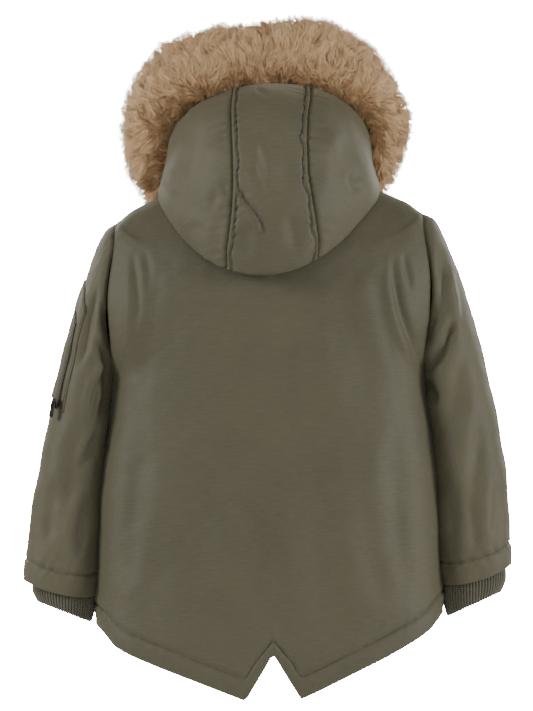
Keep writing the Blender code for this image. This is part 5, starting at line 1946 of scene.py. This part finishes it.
@dataclass
class FurTrim:
    """Fur ruff round the face opening: dense underfur on a pelt, and pile grown from it.

    Args:
        fur: its material.
        section: the reach of the fur in millimetres forward of the edge and out from it.
        reaches: its reach round the opening, of the section's, from the left cheek to the right.
        pelt: size of the pelt's section, of the fur's reach.
        first: angle of the cheek end in degrees.
        rings: rings of the pelt.
        round: points round each ring.
        parts: pieces the pile is made in.
    """

    fur: Material
    section: tuple[tuple[float, float], ...] = (
        (-31, -8), (-50, 4), (-50, 34), (-34, 60), (-4, 74), (20, 68), (38, 46), (42, 18), (30, -5),
        (11, -12), (0.9, -7), (0.9, 1.4))
    section_middle: tuple[float, float] = (2.0, 32.0)
    reaches: Sizes = Sizes(
        ("turn", "reach"),
        ((0.0, 0.56), (0.09, 0.70), (0.18, 0.70), (0.25, 0.88), (0.31, 1.15), (0.37, 1.12), (0.44, 1.04),
         (0.50, 1.04), (0.58, 1.15), (0.66, 0.98), (0.746, 0.74), (0.817, 0.60), (0.905, 0.53), (1.0, 0.46)))
    back_v: float = 0.085
    pelt: float = 0.76
    first: float = -52.0
    rings: int = 120
    round: int = 44
    parts: int = 4
    hairs: float = 740000.0
    length: float = 0.0165

    def frames(self) -> tuple[Array, ...]:
        """Edge point, forward, outward and ring directions at each ring, with its scale."""
        first = math.radians(self.first)
        t = np.linspace(0, 1, self.rings)
        phi = mix(first, math.pi - first, t)
        edge = FORM.hood_points(phi, np.zeros_like(phi))
        forward = unit(edge - FORM.hood_points(phi, np.full_like(phi, self.back_v)))
        nearby = 0.03
        ring_way = FORM.hood_points(phi + nearby, np.zeros_like(phi)) - FORM.hood_points(
            phi - nearby, np.zeros_like(phi))
        ring_way = unit(ring_way)
        out = unit(np.cross(ring_way, forward))
        from_head = edge - points_of(np.zeros_like(phi), edge[:, 1], np.full_like(phi, 60.0))
        out *= np.where(np.sum(out * from_head, axis=1) < 0, -1.0, 1.0)[:, None]
        return edge, forward, out, ring_way, self.reaches.value(t, "reach")

    def outline(self) -> Array:
        """Smooth closed outline of the pelt's section, forward and out."""
        corners = np.array(self.section, float)
        middle = np.array(self.section_middle)
        corners = middle + (corners - middle) * self.pelt
        count = len(corners)
        t = np.linspace(0, count, self.round, endpoint=False)
        k = t.astype(int)
        s = (t - k)[:, None]
        p0, p1, p2, p3 = (corners[(k + i) % count] for i in (-1, 0, 1, 2))
        cubic = (-p0 + 3 * p1 - 3 * p2 + p3) * s ** 3 + (2 * p0 - 5 * p1 + 4 * p2 - p3) * s ** 2
        return (cubic + (p2 - p0) * s + 2 * p1) / 2

    def pelt_rings(self) -> tuple[Array, Array, Array, Array]:
        """Points of the pelt, with the flow, ring direction and reach of the fur on them."""
        edge, forward, out, ring_way, reach = self.frames()
        outline = self.outline()
        swell = 1 + 0.05 * waves(edge, 46.0, 81)
        scale = (reach * swell)[:, None]
        away = outline[None, :, 1] * np.where(outline[None, :, 1] > 2, scale, 1.0)
        ahead = np.broadcast_to(outline[None, :, 0], away.shape)
        points = edge[:, None] + forward[:, None] * ahead[..., None] + out[:, None] * away[..., None]
        lumps = 3.4 * waves(points, 26.0, 82) * np.clip(away / 20.0, 0, 1)
        points = points + out[:, None] * lumps[..., None]
        outward = mix(-0.2, 1.0, smooth_step(2.0, 15.0, away))
        hang = mix(0.9, 0.1, smooth_step(0.45, 0.95, reach))[:, None]
        flow = out[:, None] * outward[..., None] + forward[:, None] * (0.12 * np.sign(ahead))[..., None]
        backward = 1.1 * (ahead < 0) * (1 - smooth_step(6.0, 22.0, away))
        flow = flow - forward[:, None] * backward[..., None]
        flow = unit(flow + hang[..., None] * np.array([0.0, 0.0, -1.0]))
        along = np.broadcast_to(ring_way[:, None], points.shape)
        pile = mix(0.75, 1.0, smooth_step(4.0, 30.0, away)) * np.clip(mix(0.8, 1.05, reach), 0.8, 1.05)[:, None]
        return points, flow, along, pile

    def pelt_piece(self, name: str, rings: slice, material: Material) -> Piece:
        """Make a stretch of the pelt, closed at its ends.

        Args:
            name: the piece's name.
            rings: the rings in it.
            material: its finish.

        Returns:
            The object, with the fur's attributes on its points.
        """
        points, flow, along, pile = (grid[rings] for grid in self.pelt_rings())
        count, around = points.shape[:2]
        number = np.arange(count * around).reshape(count, around)
        span = np.roll(number, -1, axis=1)
        faces = np.stack([number[:-1], number[1:], span[1:], span[:-1]], axis=-1).reshape(-1, 4)
        piece = mesh_from(name, FORM.settle(points.reshape(-1, 3)), faces)
        mesh = piece.data
        for label, values in (("flow", flow), ("along", along)):
            data = mesh.attributes.new(label, "FLOAT_VECTOR", "POINT").data
            data.foreach_set("vector", np.ascontiguousarray(values, np.float32).ravel())
        data = mesh.attributes.new("reach", "FLOAT", "POINT").data
        data.foreach_set("value", np.ascontiguousarray(pile, np.float32).ravel())
        dress(piece, material)
        return piece

    def underfur(self) -> Piece:
        """The dense underfur on the pelt, seen only between the hairs."""
        piece = self.pelt_piece("fur_underfur", slice(None), self.fur)
        body = bmesh.new()
        body.from_mesh(piece.data)
        bmesh.ops.holes_fill(body, edges=[e for e in body.edges if e.is_boundary], sides=0)
        bmesh.ops.recalc_face_normals(body, faces=body.faces)
        body.to_mesh(piece.data)
        body.free()
        piece.data.attributes.remove(piece.data.attributes["flow"])
        piece.data.attributes.remove(piece.data.attributes["along"])
        return piece

    def build(self) -> list[Piece]:
        """Make the underfur and the pile in several pieces.

        Returns:
            The pieces.
        """
        pieces = [self.underfur()]
        tree = fur_tree()
        edges = np.linspace(0, self.rings - 1, self.parts + 1).astype(int)
        for k in range(self.parts):
            base = self.pelt_piece("pelt", slice(edges[k], edges[k + 1] + 1), self.fur)
            pile = grow(f"fur_pile_{k + 1}", base, tree, Material=self.fur, Hairs_per_m2=self.hairs,
                        Length=self.length, Seed=91 + k)
            pieces.append(pile)
        for piece in pieces:
            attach(piece, COAT)
            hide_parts("fur_trim")
        return pieces


@dataclass
class Studio:
    """Plain pale floor, soft light and the camera.

    Args:
        distance: from the camera to the coat's middle in metres.
        aim: the point in the middle of the frame.
        view_height: height seen at the coat in metres.
    """

    distance: float = 7.0
    aim: tuple[float, float, float] = (0.003, 0.0, -0.17)
    view_height: float = 0.807
    floor_z: float = -0.74
    floor_radius: float = 1.4

    def build(self) -> None:
        """Make everything that isn't the coat."""
        self.camera()
        self.floor()
        self.light()
        self.surroundings()

    def camera(self) -> None:
        """Level camera behind the coat."""
        data = bpy.data.cameras.new("camera")
        data.sensor_width = 36.0
        data.lens = data.sensor_width * self.distance / self.view_height
        data.clip_end = 50.0
        camera = bpy.data.objects.new("camera", data)
        camera.location = (self.aim[0], self.aim[1] + self.distance, self.aim[2])
        camera.rotation_euler = (math.radians(90), 0, math.radians(180))
        bpy.context.scene.collection.objects.link(camera)
        bpy.context.scene.camera = camera

    def floor(self) -> None:
        """Round pale floor below the coat."""
        mesh = bpy.data.meshes.new("floor")
        body = bmesh.new()
        bmesh.ops.create_circle(body, cap_ends=True, radius=self.floor_radius, segments=64,
                                matrix=Matrix.Translation(Vector((0, 0, self.floor_z))))
        body.to_mesh(mesh)
        body.free()
        floor = bpy.data.objects.new("floor", mesh)
        bpy.context.scene.collection.objects.link(floor)
        material, pad, shader = new_material("pale_floor")
        grain = pad.noise(pad.add("ShaderNodeTexCoord").outputs["Object"], 6.0, 3.0)
        shade = pad.add("ShaderNodeMapRange", To_Min=0.80, To_Max=0.84, Value=grain)
        pad.fill(shader, Base_Color=shade.outputs["Result"], Roughness=0.9)
        dress(floor, material)

    @staticmethod
    def light() -> None:
        """Large soft lights: a key high on the coat's left, a fill and one for each flank."""
        lamps = (("key", (2.6, 1.2, 0.8), 1.0, 56.0), ("fill", (-2.6, 1.2, 0.3), 1.1, 52.0),
                 ("middle", (0.1, 3.2, 0.9), 1.4, 10.0),
                 ("front_left", (1.6, -2.4, 1.2), 1.6, 34.0), ("front_right", (-1.8, -2.2, 0.8), 1.6, 26.0))
        for name, place, size, power_w in lamps:
            data = bpy.data.lights.new(name, "AREA")
            data.shape = "DISK"
            data.size = size
            data.energy = power_w
            lamp = bpy.data.objects.new(name, data)
            lamp.location = place
            lamp.rotation_euler = (Vector((0, 0, -0.15)) - Vector(place)).to_track_quat("-Z", "Y").to_euler()
            bpy.context.scene.collection.objects.link(lamp)

    @staticmethod
    def surroundings() -> None:
        """White room: even light all round and a bright backdrop behind the coat."""
        world = bpy.data.worlds.new("studio")
        bpy.context.scene.world = world
        world.use_nodes = True
        pad = NodePad(world.node_tree)
        seen = pad.add("ShaderNodeLightPath").outputs["Is Camera Ray"]
        strength = pad.add("ShaderNodeMapRange", To_Min=0.30, To_Max=60.0, Value=seen).outputs["Result"]
        pad.fill(world.node_tree.nodes["Background"], Color=(1.0, 0.985, 0.95, 1), Strength=strength)


def sew(lines: dict[str, list[Array]], thread: Material) -> None:
    """Grow the rows of stitches on their lines, a piece for each sub-assembly."""
    tree = stitch_tree()
    for name, rows in lines.items():
        piece = grow(f"stitches_{name}", path_object(rows), tree, Material=thread)
        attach(piece, COAT)
        LOG.info("%s: %d faces", piece.name, len(piece.data.polygons))


def main() -> None:
    """Build the coat and its studio."""
    logging.basicConfig(level=logging.INFO, format="%(name)s: %(message)s")
    groups = ShaderGroups()
    cloth = WovenFinish().make(groups)
    # Lighter copy of the shell cloth: the same fabric, its colour raised to paint the extra light that falls on the
    # sleeves, hood and pocket.
    turned = WovenFinish("olive_cloth_painted_lighter", (0.104, 0.095, 0.056, 1), (0.131, 0.120, 0.072, 1)).make(groups)
    knit = KnitFinish().make(groups)
    # Stitch thread, much darker than the cloth: partly the thread's own colour, partly painted shadow in the depth of
    # the seams.
    thread = HardFinish("thread", (0.030, 0.028, 0.018, 1), (0.048, 0.045, 0.030, 1), 0.75).make(groups)
    tape = HardFinish("zip_tape", (0.055, 0.050, 0.034, 1), (0.080, 0.073, 0.050, 1), 0.85).make(groups)
    teeth = HardFinish("zip_teeth", (0.028, 0.027, 0.022, 1), (0.045, 0.043, 0.036, 1), 0.42).make(groups)
    metal = HardFinish("dark_metal", (0.030, 0.029, 0.026, 1), (0.060, 0.057, 0.050, 1), 0.36, 0.85).make(groups)
    body = Body(cloth)
    # Sleeves, hood and pocket take the lighter copy, whose raised colour is painted light.
    sleeves = {side: Sleeve(turned, side) for side in Side}
    hood = Hood(turned)
    pocket = SleevePocket(turned, sleeves[Side.LEFT])
    ribs, zipper = rib_tree(), teeth_tree()
    cloths = [body.back(), *(body.front(side) for side in Side), *(s.build() for s in sleeves.values())]
    cloths += [hood.centre(), *(hood.half(side) for side in Side)]
    cloths += [RibCuff(knit, side).build(ribs) for side in Side]
    cloths += pocket.build()
    tapes, chain = FrontZip(tape, teeth).build(body, zipper)
    cloths += tapes
    small = grow("sleeve_pocket_teeth", path_object([pocket.chain_line()]), zipper, Material=teeth, Pitch=0.0015,
                 Width=0.0024, Height=0.0012, Step=0.0005)
    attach(small, COAT)
    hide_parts("sleeve_pocket_zip")
    for item in cloths:
        item.declare()
        area = sum(face.area for face in item.piece.data.polygons) / 2
        LOG.info("%s: %d faces, %.4f m2, stated %.4f", item.piece.name, len(item.piece.data.polygons), area, item.area)
    sew({"body": body.lines, "sleeves": [line for s in sleeves.values() for line in s.lines()],
         "hood": hood.lines, "pocket": pocket.lines()}, thread)
    hardware = Hardware(metal)
    for node, rides in (("front_zip_slider", COAT), ("sleeve_zip_slider", COAT),
                        ("front_zip_pull_tab", "front_pull"), ("sleeve_zip_pull_tab", "sleeve_pull")):
        LOG.info("%s", hardware.rounded(node, rides).name)
    for piece in FurTrim(FurFinish().make(groups)).build():
        LOG.info("%s: %d faces", piece.name, len(piece.data.polygons))
    Studio().build()


if __name__ == "__main__":
    main()
